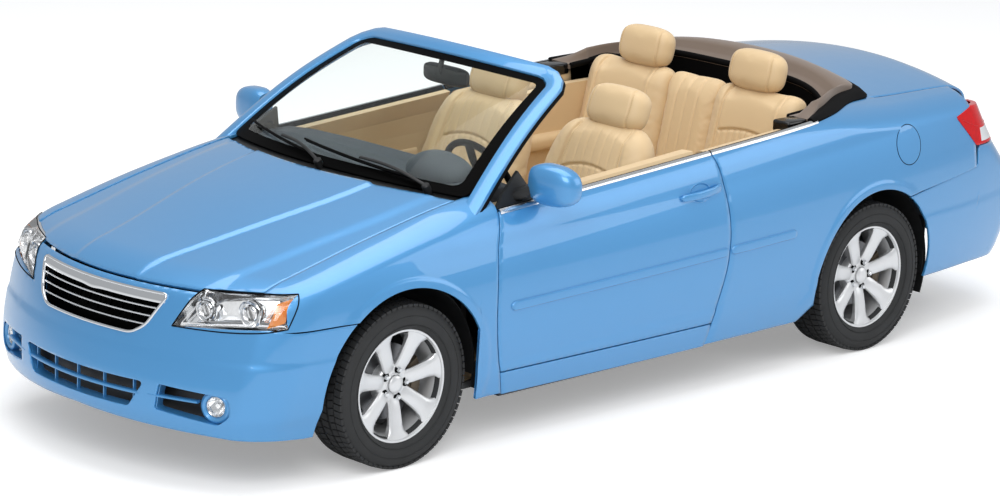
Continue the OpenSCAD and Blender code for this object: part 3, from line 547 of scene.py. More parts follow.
def panel(name: str, outer: Grid, thick: float, finish: Finish, body: str, slot: str = "paint",
          bevel: float = 1.6, cuts: Sequence[bpy.types.Object] = (), side: Side = Side.LEFT,
          rise: float = 0.0) -> bpy.types.Object:
    """Makes a sheet panel with a wall thickness and rounded edges from a grid on its outer face.

    Args:
        name: Name of the piece.
        outer: Grid of points, rows then columns.
        thick: Wall thickness in millimetres.
        finish: Its finish.
        body: Body that carries it.
        slot: Not used.
        bevel: Edge radius in millimetres.
        cuts: Cutters for its openings.
        side: Side of the car it goes to.
        rise: How far its outer face stands off the grid.

    Returns:
        The panel.
    """
    normal = SHAPE.normal(outer)
    outer, inner = outer + rise * normal, outer - (thick - rise) * normal
    if side is Side.RIGHT:
        outer, inner = (np.stack([-g[..., 0], g[..., 1], g[..., 2]], -1) for g in (outer, inner))
    verts, faces = slab(outer, inner)
    obj = outward(new_piece(name, verts, faces, finish, body, slot))
    for cutter in cuts:
        hole = obj.modifiers.new("hole", "BOOLEAN")
        hole.operation, hole.object, hole.solver = "DIFFERENCE", cutter, "MANIFOLD"
    if bevel:
        edge = obj.modifiers.new("edge", "BEVEL")
        edge.width, edge.segments, edge.limit_method = bevel * MM, 2, "ANGLE"
        edge.angle_limit, edge.harden_normals = math.radians(50), True
    return bake(obj, 60)


def cutter_y(points: Sequence, y0: float, y1: float) -> bpy.types.Object:
    """Cutter with an outline in the XZ plane between two stations.

    Args:
        points: Outline as (x, z), seen from the front.
        y0: First station.
        y1: Second station.

    Returns:
        An unshown object for a boolean.
    """
    n = len(points)
    verts = [(x, y, z) for y in (y0, y1) for x, z in points]
    faces = [tuple(range(n))[::-1], tuple(range(n, 2 * n))]
    faces += [(i, (i + 1) % n, n + (i + 1) % n, n + i) for i in range(n)]
    mesh = bpy.data.meshes.new("cutter")
    mesh.from_pydata([tuple(c * MM for c in v) for v in verts], [], faces)
    bm = bmesh.new()
    bm.from_mesh(mesh)
    bmesh.ops.recalc_face_normals(bm, faces=bm.faces)
    bm.to_mesh(mesh)
    bm.free()
    return bpy.data.objects.new("cutter", mesh)


def rounded(points: Sequence, radius: float | Sequence[float], steps: int = 6) -> list:
    """Rounds the corners of a closed outline.

    Args:
        points: Corners of the outline in the plane.
        radius: One radius, or one for each corner.
        steps: Pieces of each arc.

    Returns:
        The points of the rounded outline.
    """
    out = []
    n = len(points)
    radii = [radius] * n if isinstance(radius, (int, float)) else list(radius)
    for i in range(n):
        p, c, q = (np.array(points[(i + k) % n], float) for k in (-1, 0, 1))
        a, b = (p - c) / np.linalg.norm(p - c), (q - c) / np.linalg.norm(q - c)
        half = math.acos(np.clip(a @ b, -1, 1)) / 2
        cut = min(radii[i] / math.tan(half), 0.45 * np.linalg.norm(p - c), 0.45 * np.linalg.norm(q - c))
        if cut < 0.5:
            out.append(tuple(c))
            continue
        start, stop = c + a * cut, c + b * cut
        for k in range(steps + 1):
            t = k / steps
            out.append(tuple((1 - t) ** 2 * start + 2 * t * (1 - t) * c + t * t * stop))
    return out


def sweep(path: Grid, ups: Grid, section: Sequence, closed: bool = False) -> tuple[Grid, list]:
    """Sweeps a section along a path.

    Args:
        path: Points of the path.
        ups: Outward direction at each point.
        section: Closed outline as (across, up).
        closed: Whether the path is a loop.

    Returns:
        The points and faces.
    """
    path, ups = np.asarray(path, float), np.asarray(ups, float)
    if closed:
        along = np.roll(path, -1, 0) - np.roll(path, 1, 0)
    else:
        along = np.gradient(path, axis=0)
    along /= np.linalg.norm(along, axis=1, keepdims=True)
    across = np.cross(along, ups)
    across /= np.linalg.norm(across, axis=1, keepdims=True)
    up = np.cross(across, along)
    sec = np.asarray(section, float)
    pts = path[:, None] + across[:, None] * sec[None, :, :1] + up[:, None] * sec[None, :, 1:]
    n, m = pts.shape[:2]
    faces = grid_faces(n, m, closed, True)
    if not closed:
        faces += [tuple(range(m))[::-1], tuple(range((n - 1) * m, n * m))]
    return pts.reshape(-1, 3), faces


def swept(name: str, path: Grid, ups: Grid, section: Sequence, finish: Finish, body: str,
          slot: str, closed: bool = False, auto: float = 40.0) -> bpy.types.Object:
    """Makes a piece from a section swept along a path, with its normals pointing out."""
    verts, faces = sweep(path, ups, section, closed)
    return outward(new_piece(name, verts, faces, finish, body, slot, auto), auto)


def outward(obj: bpy.types.Object, auto: float = 40.0) -> bpy.types.Object:
    """Merges doubles and turns a closed mesh's faces outwards."""
    bm = bmesh.new()
    bm.from_mesh(obj.data)
    bmesh.ops.remove_doubles(bm, verts=bm.verts, dist=1e-6)
    bmesh.ops.recalc_face_normals(bm, faces=bm.faces)
    bm.to_mesh(obj.data)
    bm.free()
    shade(obj, auto)
    return obj


def oval(a: float, b: float, n: int = 12, power: float = 2.0, shift: float = 0.0) -> list:
    """Closed rounded outline with half axes a and b.

    Args:
        a: Half width.
        b: Half height.
        n: Number of points.
        power: 2 for an ellipse, more for a rounded box.
        shift: Moves the outline up.

    Returns:
        The points.
    """
    t = np.arange(n) / n * 2 * math.pi
    c, s = np.cos(t), np.sin(t)
    e = 2 / power
    return list(zip(a * np.sign(c) * np.abs(c) ** e, b * np.sign(s) * np.abs(s) ** e + shift))


def spun(name: str, profile: Sequence, place: Matrix, finish: Finish, body: str, slot: str,
         n: int = 64, auto: float = 35.0) -> bpy.types.Object:
    """Makes a turned piece.

    Args:
        name: Name of the piece.
        profile: Points (radius, height); a radius of 0 closes it.
        place: Where its axis and zero height go, in millimetres.
        finish: Its finish.
        body: Body that carries it.
        slot: Not used.
        n: Steps around.
        auto: Angle of sharp edges.

    Returns:
        The piece.
    """
    t = np.arange(n) / n * 2 * math.pi
    prof = np.asarray(profile, float)
    pts = np.stack([prof[:, None, 0] * np.cos(t), prof[:, None, 0] * np.sin(t),
                    np.broadcast_to(prof[:, None, 1], (len(prof), n))], -1).reshape(-1, 3)
    m = np.array(place)
    pts = pts @ m[:3, :3].T + m[:3, 3]
    return outward(new_piece(name, pts, grid_faces(len(prof), n, False, True), finish, body, slot), auto)


def axle_place(x: float, y: float, z: float, sign: int = 1) -> Matrix:
    """Matrix whose local Z axis lies along the car's X, outwards on the given side."""
    return Matrix.Translation((x * sign, y, z)) @ Matrix.Rotation(math.radians(90 * sign), 4, "Y")


def node_dress(name: str, finish: Finish) -> None:
    """Gives a CAD node's object a finish."""
    data = frame["nodes"][name].data
    data.materials.clear()
    data.materials.append(finish.build())


# ---------------------------------------------------------------- painted shell


@dataclass
class Shell:
    """The painted outer panels of the body."""

    shape: BodyShape = field(default_factory=BodyShape)
    wall: float = 12.0
    wing_front: float = -2070.0
    quarter_rear: float = 1935.0
    deck_front: float = 1425.0
    bonnet_rear: float = -1262.0
    lid_low: float = 715.0
    strip_low: float = 560.0
    strip_high: float = 596.0
    lip: float = 5.0
    lip_width: float = 26.0

    def build(self) -> None:
        """Builds all the painted panels."""
        for side in Side:
            self.wing(side)
            self.quarter(side)
            self.door(side)
            self.sill(side)
        self.bonnet()
        self.lid()
        self.front_bumper()
        self.rear_bumper()

    def arch_lip(self, p: Grid, axle: float) -> Grid:
        """Raises the rolled lip around a wheel arch.

        Args:
            p: Points on the side.
            axle: Station of the wheel.

        Returns:
            The raised points.
        """
        r = np.hypot(p[..., 1] - axle, p[..., 2] - self.shape.hub_z) - self.shape.arch_radius
        rise = self.lip * (1 - smooth((r - self.lip_width) / 14))
        q = p.copy()
        q[..., 0] += rise * np.sign(p[..., 0])
        return q

    def crease(self, p: Grid) -> Grid:
        """Presses the soft body lines into the side: one below the belt and one above the sill."""
        q = p.copy()
        y, z = p[..., 1], p[..., 2]
        sill = 3.5 * smooth((330 + 0.03 * (y + 970) - z) / 14) * smooth((1150 + y) / 60) * smooth((900 - y) / 60)
        waist = 5.0 * smooth((z - 795 - 0.055 * (y + 970)) / 60) * smooth((self.shape.belt(y) - z) / 60)
        q[..., 0] += sill + waist * smooth((y + 1500) / 300) * smooth((1650 - y) / 300)
        return q

    def wing(self, side: Side) -> None:
        """Builds a front wing."""
        s = self.shape
        a0 = math.degrees(math.asin((s.bumper_seam - s.hub_z) / s.arch_radius))
        u = np.concatenate([np.linspace(0, 0.3, 16), np.linspace(0.3, 0.9, 60)[1:],
                            np.linspace(0.9, 1, 10)[1:]])
        end = s.arch(s.front_axle, 196)
        start = s.arch(s.front_axle, a0)
        low = np.zeros((len(u), 2))
        for k, t in enumerate(u):
            if t < 0.3:
                low[k] = (mix(self.wing_front, start[0], t / 0.3), s.bumper_seam)
            elif t < 0.9:
                low[k] = s.arch(s.front_axle, mix(a0, 196, (t - 0.3) / 0.6))
            else:
                low[k] = (mix(end[0], s.door_front(s.sill) - s.gap, (t - 0.9) / 0.1), s.sill)
        high_y = mix(self.wing_front + 25, s.door_front(s.pivot_z(-1000.0)) - s.gap, u)
        v = np.concatenate([np.array([0, 0.02, 0.045, 0.07, 0.095, 0.12]), np.linspace(0.16, 1, 22)])
        y = mix(low[:, :1], high_y[:, None], v)
        z = mix(low[:, 1:], s.pivot_z(high_y)[:, None], v)
        # The last columns lean over to follow the door's curved front edge
        near = smooth((u - 0.8) / 0.2)[:, None]
        y = y + near * (s.door_front(z[-1]) - s.gap - y[-1])
        body = self.crease(self.arch_lip(s.side(y, z), s.front_axle))
        q = np.linspace(0, 1, 16)[1:]
        over = s.over(high_y[:, None], q[None, :], 0, s.gap / 2)
        edge = s.door_front(np.minimum(over[-1, :, 2], 935)) - s.gap - high_y[-1]
        over = s.over(high_y[:, None] + near * edge, np.broadcast_to(q, over.shape[:2]), 0, s.gap / 2)
        grid = np.concatenate([body, self.crease(over)], 1)
        piece = panel(f"front_wing_{side.word}", grid, self.wall, PAINT, "body", side=side,
                      cuts=[self.lamp_cutter(side)])
        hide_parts(f"front_fender_{side.word}")

    def quarter(self, side: Side) -> None:
        """Builds a rear quarter panel."""
        s = self.shape
        a0 = math.degrees(math.asin((s.rear_seam - s.hub_z) / s.arch_radius))
        u = np.concatenate([np.linspace(0, 0.1, 12), np.linspace(0.1, 0.7, 66)[1:],
                            np.linspace(0.7, 1, 22)[1:]])
        first = s.arch(s.rear_axle, -8)
        last = s.arch(s.rear_axle, 180 - a0)
        low = np.zeros((len(u), 2))
        for k, t in enumerate(u):
            if t < 0.1:
                low[k] = (mix(s.door_rear(s.sill) + s.gap, first[0] - 30, t / 0.1), s.sill)
            elif t < 0.7:
                low[k] = s.arch(s.rear_axle, mix(-8, 180 - a0, (t - 0.1) / 0.6))
            else:
                low[k] = (mix(last[0], self.quarter_rear, (t - 0.7) / 0.3),
                          mix(s.rear_seam, 700, (t - 0.7) / 0.3))
        high_y = mix(s.door_rear(950) + s.gap, self.quarter_rear, u)
        high_z = np.minimum(s.pivot_z(high_y), s.belt(high_y) - 60)
        v = np.concatenate([np.array([0, 0.02, 0.045, 0.07, 0.095, 0.12]), np.linspace(0.16, 1, 24)])
        y = mix(low[:, :1], high_y[:, None], v)
        z = mix(low[:, 1:], high_z[:, None], v)
        near = smooth((0.12 - u) / 0.12)[:, None]
        y = y + near * (s.door_rear(z[0]) + s.gap - y[0])
        body = self.crease(self.arch_lip(s.side(y, z), s.rear_axle))
        q = np.linspace(0, 1, 18)[1:]
        zt = mix(high_z[:, None], s.belt(high_y)[:, None], q)
        yt = high_y[:, None] + near * (s.door_rear(zt[0]) + s.gap - high_y[0])
        belted = self.crease(s.side(yt, zt))
        over = s.over(high_y[:, None], q[None, :], 0, s.gap / 2)
        # The belt part turns into the shoulder behind the folded roof
        blend = smooth((high_y - (self.deck_front - 420)) / 400)[:, None, None]
        grid = np.concatenate([body, mix(belted, over, blend)], 1)
        piece = panel(f"rear_quarter_{side.word}", grid, self.wall, PAINT, "body", side=side)
        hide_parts(f"quarter_panel_{side.word}")

    def door(self, side: Side) -> None:
        """Builds a door skin."""
        s = self.shape
        u = np.linspace(0, 1, 60)
        v = np.linspace(0, 1, 46)
        belt = s.belt(mix(-966, 208, u))
        z = mix(300.0, belt[:, None], v[None, :])
        y = mix(s.door_front(z), s.door_rear(z), u[:, None])
        piece = panel(f"door_skin_{side.word}", self.crease(s.side(y, z)), 26, PAINT,
                      f"door_{side.word}", side=side)
        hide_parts(f"door_{side.word}")

    def sill(self, side: Side) -> None:
        """Builds the painted sill below a door."""
        s = self.shape
        u = np.linspace(0, 1, 50)
        z = mix(200.0, 294.0, np.linspace(0, 1, 14))[None, :]
        y = mix(s.door_front(z) - 2, np.minimum(s.door_rear(z), 175) + 8, u[:, None])
        z = np.broadcast_to(z, y.shape)
        panel(f"sill_{side.word}", self.crease(s.side(y, z)), 22, PAINT, "body", side=side)

    def bonnet_back(self, x: Grid) -> Grid:
        """Rear edge of the bonnet."""
        return self.bonnet_rear + 0.00039 * x * x

    def bonnet_front(self, x: Grid) -> Grid:
        """Front edge of the bonnet, along the nose; the lamps are cut out of it later."""
        o = np.stack([x, np.full(x.shape, -1500.0), np.full(x.shape, 729.0)], -1)
        return self.shape.hit(o, np.array([0, -1.0, 0]), 0, 1200)[..., 1]

    def lamp_cutter(self, side: Side) -> bpy.types.Object:
        """Cutter for a headlamp with the seam around it."""
        edge = np.array(HEADLAMPS.rim(0.009))
        pts = HEADLAMPS.at(edge[:, 0], edge[:, 1], 0, side)
        return cutter_y([(x, z) for x, z in pts[:, [0, 2]]], -2460, -1850)

    def bonnet(self) -> None:
        """Builds the bonnet with its pressed creases."""
        s = self.shape
        x = np.linspace(-1, 1, 121) * (672 - s.gap / 2)
        v = np.linspace(0, 1, 70)
        y = mix((self.bonnet_front(x) + s.gap / 2)[:, None], (self.bonnet_back(x) - s.gap / 2)[:, None], v)
        xx = np.broadcast_to(x[:, None], y.shape)
        p = s.above(xx, y)
        # The middle of the bonnet stands a little above its flanks, between two creases
        line = mix(175, 330, smooth((y + 2300) / 1050))
        outer = mix(470, 560, smooth((y + 2300) / 1050))
        a = np.abs(xx)
        p[..., 2] += 9 * (1 - smooth((a - line) / 20)) * smooth((y + 2330) / 200)
        p[..., 2] += 6 * (1 - smooth((a - outer) / 60)) * smooth((y + 2330) / 160) - 3
        piece = panel("bonnet_skin", p, self.wall, PAINT, "bonnet",
                      cuts=[self.lamp_cutter(side) for side in Side])
        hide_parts("bonnet")

    def opening_edge(self, y: Grid) -> Grid:
        """Top inner edge of the rear quarter panel, which borders the roof cover."""
        s = self.shape
        blend = smooth((y - (self.deck_front - 420)) / 400)[:, None]
        return mix(s.side(y, s.belt(y)), s.over(y, np.ones_like(y), 0, s.gap / 2), blend)

    def lid(self) -> None:
        """Builds the boot lid over the deck and down the tail."""
        s = self.shape
        py, pz = 1985.0, 940.0
        v = np.concatenate([np.linspace(0, 0.5, 40), np.linspace(0.5, 0.8, 26)[1:],
                            np.linspace(0.8, 1, 16)[1:]])
        y_seam = mix(1425, 2025, np.clip(v / 0.6, 0, 1))
        t = np.linspace(-1, 1, 91)[:, None]
        x = t * (s.seam_x(y_seam) - s.gap / 2)[None, :]
        front = self.deck_front - 0.00012 * x * x + 20 + s.gap / 2
        vv = np.broadcast_to(v[None, :], x.shape)
        o = np.stack([x, np.where(vv < 0.5, mix(front, py, vv / 0.5), py),
                      np.where(vv < 0.5, 700.0, np.where(vv < 0.8, pz,
                                                         mix(pz, self.lid_low, (vv - 0.8) / 0.2)))], -1)
        a = np.clip((vv - 0.5) / 0.3, 0, 1) * np.pi / 2
        p = s.hit(o, np.stack([0 * a, np.sin(a), np.cos(a)], -1))
        piece = panel("boot_lid_skin", p, self.wall, PAINT, "trunk_lid")
        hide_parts("trunk_lid")

    def bumper_rows(self, end: End, n: int, m: int) -> Grid:
        """Grid of points on a bumper's face.

        Args:
            end: Front or rear.
            n: Points around.
            m: Points up.

        Returns:
            The grid.
        """
        s = self.shape
        k = np.linspace(-2, 2, n)
        a = np.abs(k)
        if end is End.FRONT:
            low = mix(236, 190, np.clip(a, 0, 1))
            under = mix(640, s.bumper_seam - s.gap, smooth((a - 0.6) / 0.32))
            high = np.where(a < 0.4, 724, np.where(a < 0.44, mix(724, 640, (a - 0.4) / 0.04), under))
        else:
            low = mix(245, 262, np.clip(a, 0, 1))
            high = np.where(a < 0.505, self.lid_low - s.gap,
                            mix(self.lid_low - s.gap, 788, smooth((a - 0.505) / 0.025)))
            side_top = mix(702, s.rear_seam - s.gap, np.clip(a - 1, 0, 1))
            high = np.where(a < 0.96, high, mix(high, side_top, smooth((a - 0.96) / 0.03)))
        z = mix(low[:, None], high[:, None], np.linspace(0, 1, m)[None, :])
        h = z - s.hub_z
        if end is End.FRONT:
            r = s.arch_radius + np.clip(300 - z, 0, None) * 0.35
            run = 1930 + s.front_axle - np.sqrt(np.clip(r * r - h * h, 0, None))
        else:
            run = 1940 - (s.rear_axle + np.sqrt(np.clip(s.arch_radius ** 2 - h * h, 0, None)))
        kk = np.broadcast_to(k[:, None], z.shape)
        p = s.ring(end, kk, z, 0, run)
        # A soft crease runs around the bumper below the lamps
        face = s.normal(p) * np.array([1, 1, 0])
        level = 505 if end is End.FRONT else 560
        fade = smooth((650 - np.abs(z - level)) / 300)
        p = p + face * (5 * smooth((level - z) / 26) * fade)[..., None] * smooth((z - 230) / 60)[..., None]
        return p

    def grille_outline(self, grow: float = 0.0) -> list:
        """Outline of the grille opening as (x, z)."""
        g = grow
        half = [(372 + g, 706 + g), (312 + g, 585), (252, 546 - g)]
        return rounded([(-x, z) for x, z in half][::1] + half[::-1], [14, 90, 90, 90, 90, 14])

    def lower_outline(self, grow: float = 0.0) -> list:
        """Outline of the lower air opening as (x, z)."""
        g = grow
        half = [(352 + g, 386 + g), (286 + g, 281 - g)]
        return rounded([(-x, z) for x, z in half] + half[::-1], [16, 26, 26, 16])

    def fog_outline(self, side: Side, grow: float = 0.0) -> list:
        """Outline of a side opening with its fog lamp, as (x, z)."""
        g = grow
        pts = [(412 - g, 388 + g), (398 - g, 292 - g), (640 + g, 262 - g), (684 + g, 300),
               (680 + g, 372 + g)]
        pts = rounded(pts, [12, 14, 40, 44, 40])
        return pts if side is Side.LEFT else [(-x, z) for x, z in pts][::-1]

    def front_bumper(self) -> None:
        """Builds the front bumper with its openings."""
        cuts = [cutter_y(self.grille_outline(), -2460, -2100), cutter_y(self.lower_outline(), -2460, -2200)]
        cuts += [cutter_y(self.fog_outline(side), -2460, -2040) for side in Side]
        cuts += [self.lamp_cutter(side) for side in Side]
        piece = panel("front_bumper_skin", self.bumper_rows(End.FRONT, 241, 46), self.wall, PAINT, "body",
                      cuts=cuts)
        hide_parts("front_bumper")

    def rear_bumper(self) -> None:
        """Builds the rear bumper."""
        piece = panel("rear_bumper_skin", self.bumper_rows(End.REAR, 241, 40), self.wall, PAINT, "body")
        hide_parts("rear_bumper")


# ---------------------------------------------------------------- studio


@dataclass
class Studio:
    """Camera, lights and floor."""

    eye: tuple = (10.65, -10.69, 4.30)
    yaw: float = 135.37
    pitch: float = -14.29
    roll: float = 2.05
    focal_px: float = 3731.0
    sensor: float = 36.0

    def build(self) -> None:
        """Builds the studio around the car."""
        self.camera()
        self.floor()
        self.world()
        self.lamp("key", (6.0, -7.0, 7.0), 6.0, 520)
        self.lamp("fill", (7.0, 7.0, 5.0), 6.0, 200)
        self.lamp("top", (0.0, 0.0, 8.0), 7.0, 380)

    def camera(self) -> None:
        """Places the camera."""
        yaw, pitch, roll = (math.radians(a) for a in (self.yaw, self.pitch, self.roll))
        ahead = Vector((math.cos(pitch) * math.cos(yaw), math.cos(pitch) * math.sin(yaw), math.sin(pitch)))
        right = ahead.cross(Vector((0, 0, 1))).normalized()
        up = right.cross(ahead)
        x = math.cos(roll) * right + math.sin(roll) * up
        y = -math.sin(roll) * right + math.cos(roll) * up
        data = bpy.data.cameras.new("camera")
        data.sensor_width = self.sensor
        data.lens = self.focal_px / 1000 * self.sensor
        data.clip_end = 100
        camera = bpy.data.objects.new("camera", data)
        camera.matrix_world = Matrix.Translation(self.eye) @ Matrix((x, y, -ahead)).transposed().to_4x4()
        bpy.context.scene.collection.objects.link(camera)
        bpy.context.scene.camera = camera

    def floor(self) -> None:
        """Lays the pale floor, which the lens sees as white away from the shadow."""
        mesh = bpy.data.meshes.new("floor")
        size = 60
        mesh.from_pydata([(-size, -size, 0), (size, -size, 0), (size, size, 0), (-size, size, 0)], [],
                         [(0, 1, 2, 3)])
        floor = bpy.data.objects.new("floor", mesh)
        bpy.context.scene.collection.objects.link(floor)
        material = bpy.data.materials.new("floor_paint_rolled_pale")
        material.use_nodes = True
        tree = material.node_tree
        shader = tree.nodes["Principled BSDF"]
        shader.inputs["Base Color"].default_value = linear("F4F4F4")
        shader.inputs["Roughness"].default_value = 0.9
        path = add(tree, "ShaderNodeLightPath")
        seen = add(tree, "ShaderNodeMath", {0: path.outputs["Is Camera Ray"],
                                            1: path.outputs["Is Transmission Ray"]}, operation="MAXIMUM")
        glow = add(tree, "ShaderNodeMath", {0: seen.outputs[0], 1: 0.30}, operation="MULTIPLY")
        shader.inputs["Emission Color"].default_value = (1, 1, 1, 1)
        tree.links.new(glow.outputs[0], shader.inputs["Emission Strength"])
        mesh.materials.append(material)

    def world(self) -> None:
        """Lights the world softly and shows it white behind the car."""
        world = bpy.data.worlds.new("studio")
        bpy.context.scene.world = world
        world.use_nodes = True
        tree = world.node_tree
        tree.nodes.clear()
        path = add(tree, "ShaderNodeLightPath")
        seen = add(tree, "ShaderNodeMath", {0: path.outputs["Is Camera Ray"],
                                            1: path.outputs["Is Transmission Ray"]}, operation="MAXIMUM")
        soft = add(tree, "ShaderNodeBackground", {"Color": (0.95, 0.97, 1.0, 1), "Strength": 0.55})
        white = add(tree, "ShaderNodeBackground", {"Color": (1, 1, 1, 1), "Strength": 1.0})
        either = add(tree, "ShaderNodeMixShader", {0: seen.outputs[0], 1: soft.outputs[0],
                                                   2: white.outputs[0]})
        add(tree, "ShaderNodeOutputWorld", {0: either.outputs[0]})

    def lamp(self, name: str, place: Sequence[float], size: float, power: float) -> None:
        """Hangs a soft box that points at the car.

        Args:
            name: Name of the lamp.
            place: Where it hangs, in metres.
            size: Side of its square.
            power: Watts.
        """
        data = bpy.data.lights.new(name, "AREA")
        data.size, data.energy = size, power
        lamp = bpy.data.objects.new(name, data)
        aim = Vector((0, 0, 0.5)) - Vector(place)
        lamp.matrix_world = Matrix.Translation(place) @ aim.to_track_quat("-Z", "Y").to_matrix().to_4x4()
        bpy.context.scene.collection.objects.link(lamp)


# ---------------------------------------------------------------- trim on the body


@dataclass
class OuterTrim:
    """Bright and black strips, handles, mirrors, wipers and the windscreen."""

    shape: BodyShape = field(default_factory=BodyShape)
    shell: Shell = field(default_factory=Shell)
    belt_end: float = 880.0
    handle: tuple = (-22.0, 214.0)
    strip: tuple = (-974.0, 662.0)

    def build(self) -> None:
        """Builds all the outer trim."""
        for side in Side:
            self.belt(side)
            self.rub_strip(side)
            self.door_handle(side)
            self.mirror(side)
        self.windscreen()
        self.cowl()

    def along_side(self, name: str, y0: float, y1: float, height: Callable, section: Sequence,
                   finish: Finish, body: str, slot: str, side: Side, n: int = 60,
                   taper: float = 0.0) -> bpy.types.Object:
        """Sweeps a strip along the body side.

        Args:
            name: Name of the piece.
            y0: First station.
            y1: Last station.
            height: Height as a function of the station.
            section: Section as (up the side, out).
            finish: Its finish.
            body: Body that carries it.
            slot: Not used.
            side: Side of the car.
            n: Steps along.
            taper: Length over which the ends are rounded off.

        Returns:
            The strip.
        """
        y = mix(y0, y1, np.linspace(0, 1, n) if not taper else 0.5 - 0.5 * np.cos(np.linspace(0, np.pi, n)))
        p = self.shell.crease(self.shape.side(y, height(y)))
        normal = self.shape.normal(p)
        along = np.gradient(p, axis=0)
        along /= np.linalg.norm(along, axis=1, keepdims=True)
        across = np.cross(normal, along)
        across *= np.sign(across[:, 2:])
        scale = np.ones(n)
        if taper:
            e = np.clip(np.minimum(y - y0, y1 - y) / taper, 0, 1)
            scale = np.sqrt(np.clip(1 - (1 - e) ** 2, 0.0004, 1))
        sec = np.asarray(section, float)
        pts = p[:, None] + across[:, None] * sec[None, :, :1] * scale[:, None, None] \
            + normal[:, None] * sec[None, :, 1:] * np.where(sec[None, :, 1:] > 0, scale[:, None, None], 1)
        pts[..., 0] *= side.value
        m = len(sec)
        faces = grid_faces(n, m, False, True) + [tuple(range(m))[::-1], tuple(range((n - 1) * m, n * m))]
        return outward(new_piece(name, pts.reshape(-1, 3), faces, finish, body, slot), 35)

    def belt(self, side: Side) -> None:
        """Bright moulding and black seal along the belt line, split at the door."""
        s = self.shape
        bright = [(-14, -1), (-14, 2), (-9, 5), (0, 6.5), (7, 5), (10, 1), (10, -6)]
        seal = [(8, -24), (8, -4), (14, -2), (16, -8), (16, -24)]
        door = f"door_{side.word}"
        spans = [("door", -966.0, 206.0, door), ("quarter", 214.0, self.belt_end, "body")]
        for word, y0, y1, body in spans:
            self.along_side(f"belt_moulding_{word}_{side.word}", y0, y1, s.belt, bright, BRIGHT_TRIM, body,
                            "steel", side)
            self.along_side(f"belt_seal_{word}_{side.word}", y0 + 3, y1 - 3, s.belt, seal, SEAL, body,
                            "black_plastic", side)

    def rub_strip(self, side: Side) -> None:
        """Painted rubbing strip with rounded ends on the door and the quarter panel."""
        s = self.shape

        def height(y: Grid) -> Grid:
            """Height of the strip's middle, rising gently to the rear."""
            return 562 + 0.0293 * (y + 970)

        section = [(-19, -2), (-19, 3), (-14, 9), (0, 11), (14, 9), (19, 3), (19, -2)]
        split = float(s.door_rear(590))
        spans = [("door", self.strip[0], split - 4, f"door_{side.word}"),
                 ("quarter", split + 10, self.strip[1], "body")]
        for word, y0, y1, body in spans:
            self.along_side(f"rub_strip_{word}_{side.word}", y0, y1, height, section, PAINT, body, "paint",
                            side, 70, 26)

    def door_handle(self, side: Side) -> None:
        """Pull handle over a round recess, with its lock at the rear end."""
        s = self.shape
        body = f"door_{side.word}"
        y0, y1 = self.handle

        def rise(y: Grid) -> Grid:
            """Height of the handle's middle."""
            return 846 + 0.075 * (y - y0)

        n = 34
        t = np.linspace(0, 1, n)
        y = mix(y0, y1, t)
        p = self.shell.crease(s.side(y, rise(y)))
        lift = 4 + 26 * np.sin(np.pi * np.clip(t, 0, 1)) ** 0.55
        half = 13 + 3 * np.sin(np.pi * t) + 3 * smooth((t - 0.75) / 0.1)
        half *= np.sqrt(np.clip(1 - np.clip(1 - np.minimum(t, 1 - t) / 0.07, 0, 1) ** 2, 0.002, 1))
        sec = np.array(oval(1, 1, 16, 2.6))
        pts = p[:, None] + np.stack([lift[:, None] + 6.5 * sec[None, :, 0] - 3,
                                     0 * half[:, None] * sec[None, :, 0],
                                     half[:, None] * sec[None, :, 1]], -1)
        pts[..., 0] *= side.value
        faces = grid_faces(n, 16, False, True) + [tuple(range(16))[::-1],
                                                  tuple(range((n - 1) * 16, n * 16))]
        outward(new_piece(f"door_handle_{side.word}", pts.reshape(-1, 3), faces, PAINT, body, "paint"))
        # The cup behind the handle is a shallow bowl with a soft rim
        mid = self.shell.crease(s.side(np.array([y0 + 0.5 * (y1 - y0)]), np.array([855.0])))[0]
        r = np.linspace(0, 1, 14)[:, None]
        a = np.linspace(0, 2 * np.pi, 41)[None, :-1]
        yy, zz = mid[1] + 66 * r * np.cos(a), mid[2] + 40 * r * np.sin(a)
        q = self.shell.crease(s.side(yy, zz))
        q[..., 0] += 1.2 - 9 * (1 - smooth((r - 0.1) / 0.9)) + 1.6 * np.exp(-((r - 0.93) / 0.07) ** 2)
        q[..., 0] = np.where(r > 0.97, q[..., 0] - 2.5, q[..., 0])
        q[..., 0] *= side.value
        cup = new_piece(f"handle_cup_{side.word}", q.reshape(-1, 3), grid_faces(14, 40, False, True), PAINT,
                        body, "paint")
        outward(cup, 60)
        lock = self.shell.crease(s.side(np.array([y1 - 22]), np.array([float(rise(y1 - 22))])))[0]
        spun(f"door_lock_{side.word}", [(0, 10), (6, 10), (7.5, 9), (7.5, 0)],
             axle_place(lock[0] + 5, lock[1], lock[2], side.value), BRIGHT_TRIM, body, "steel", 24)

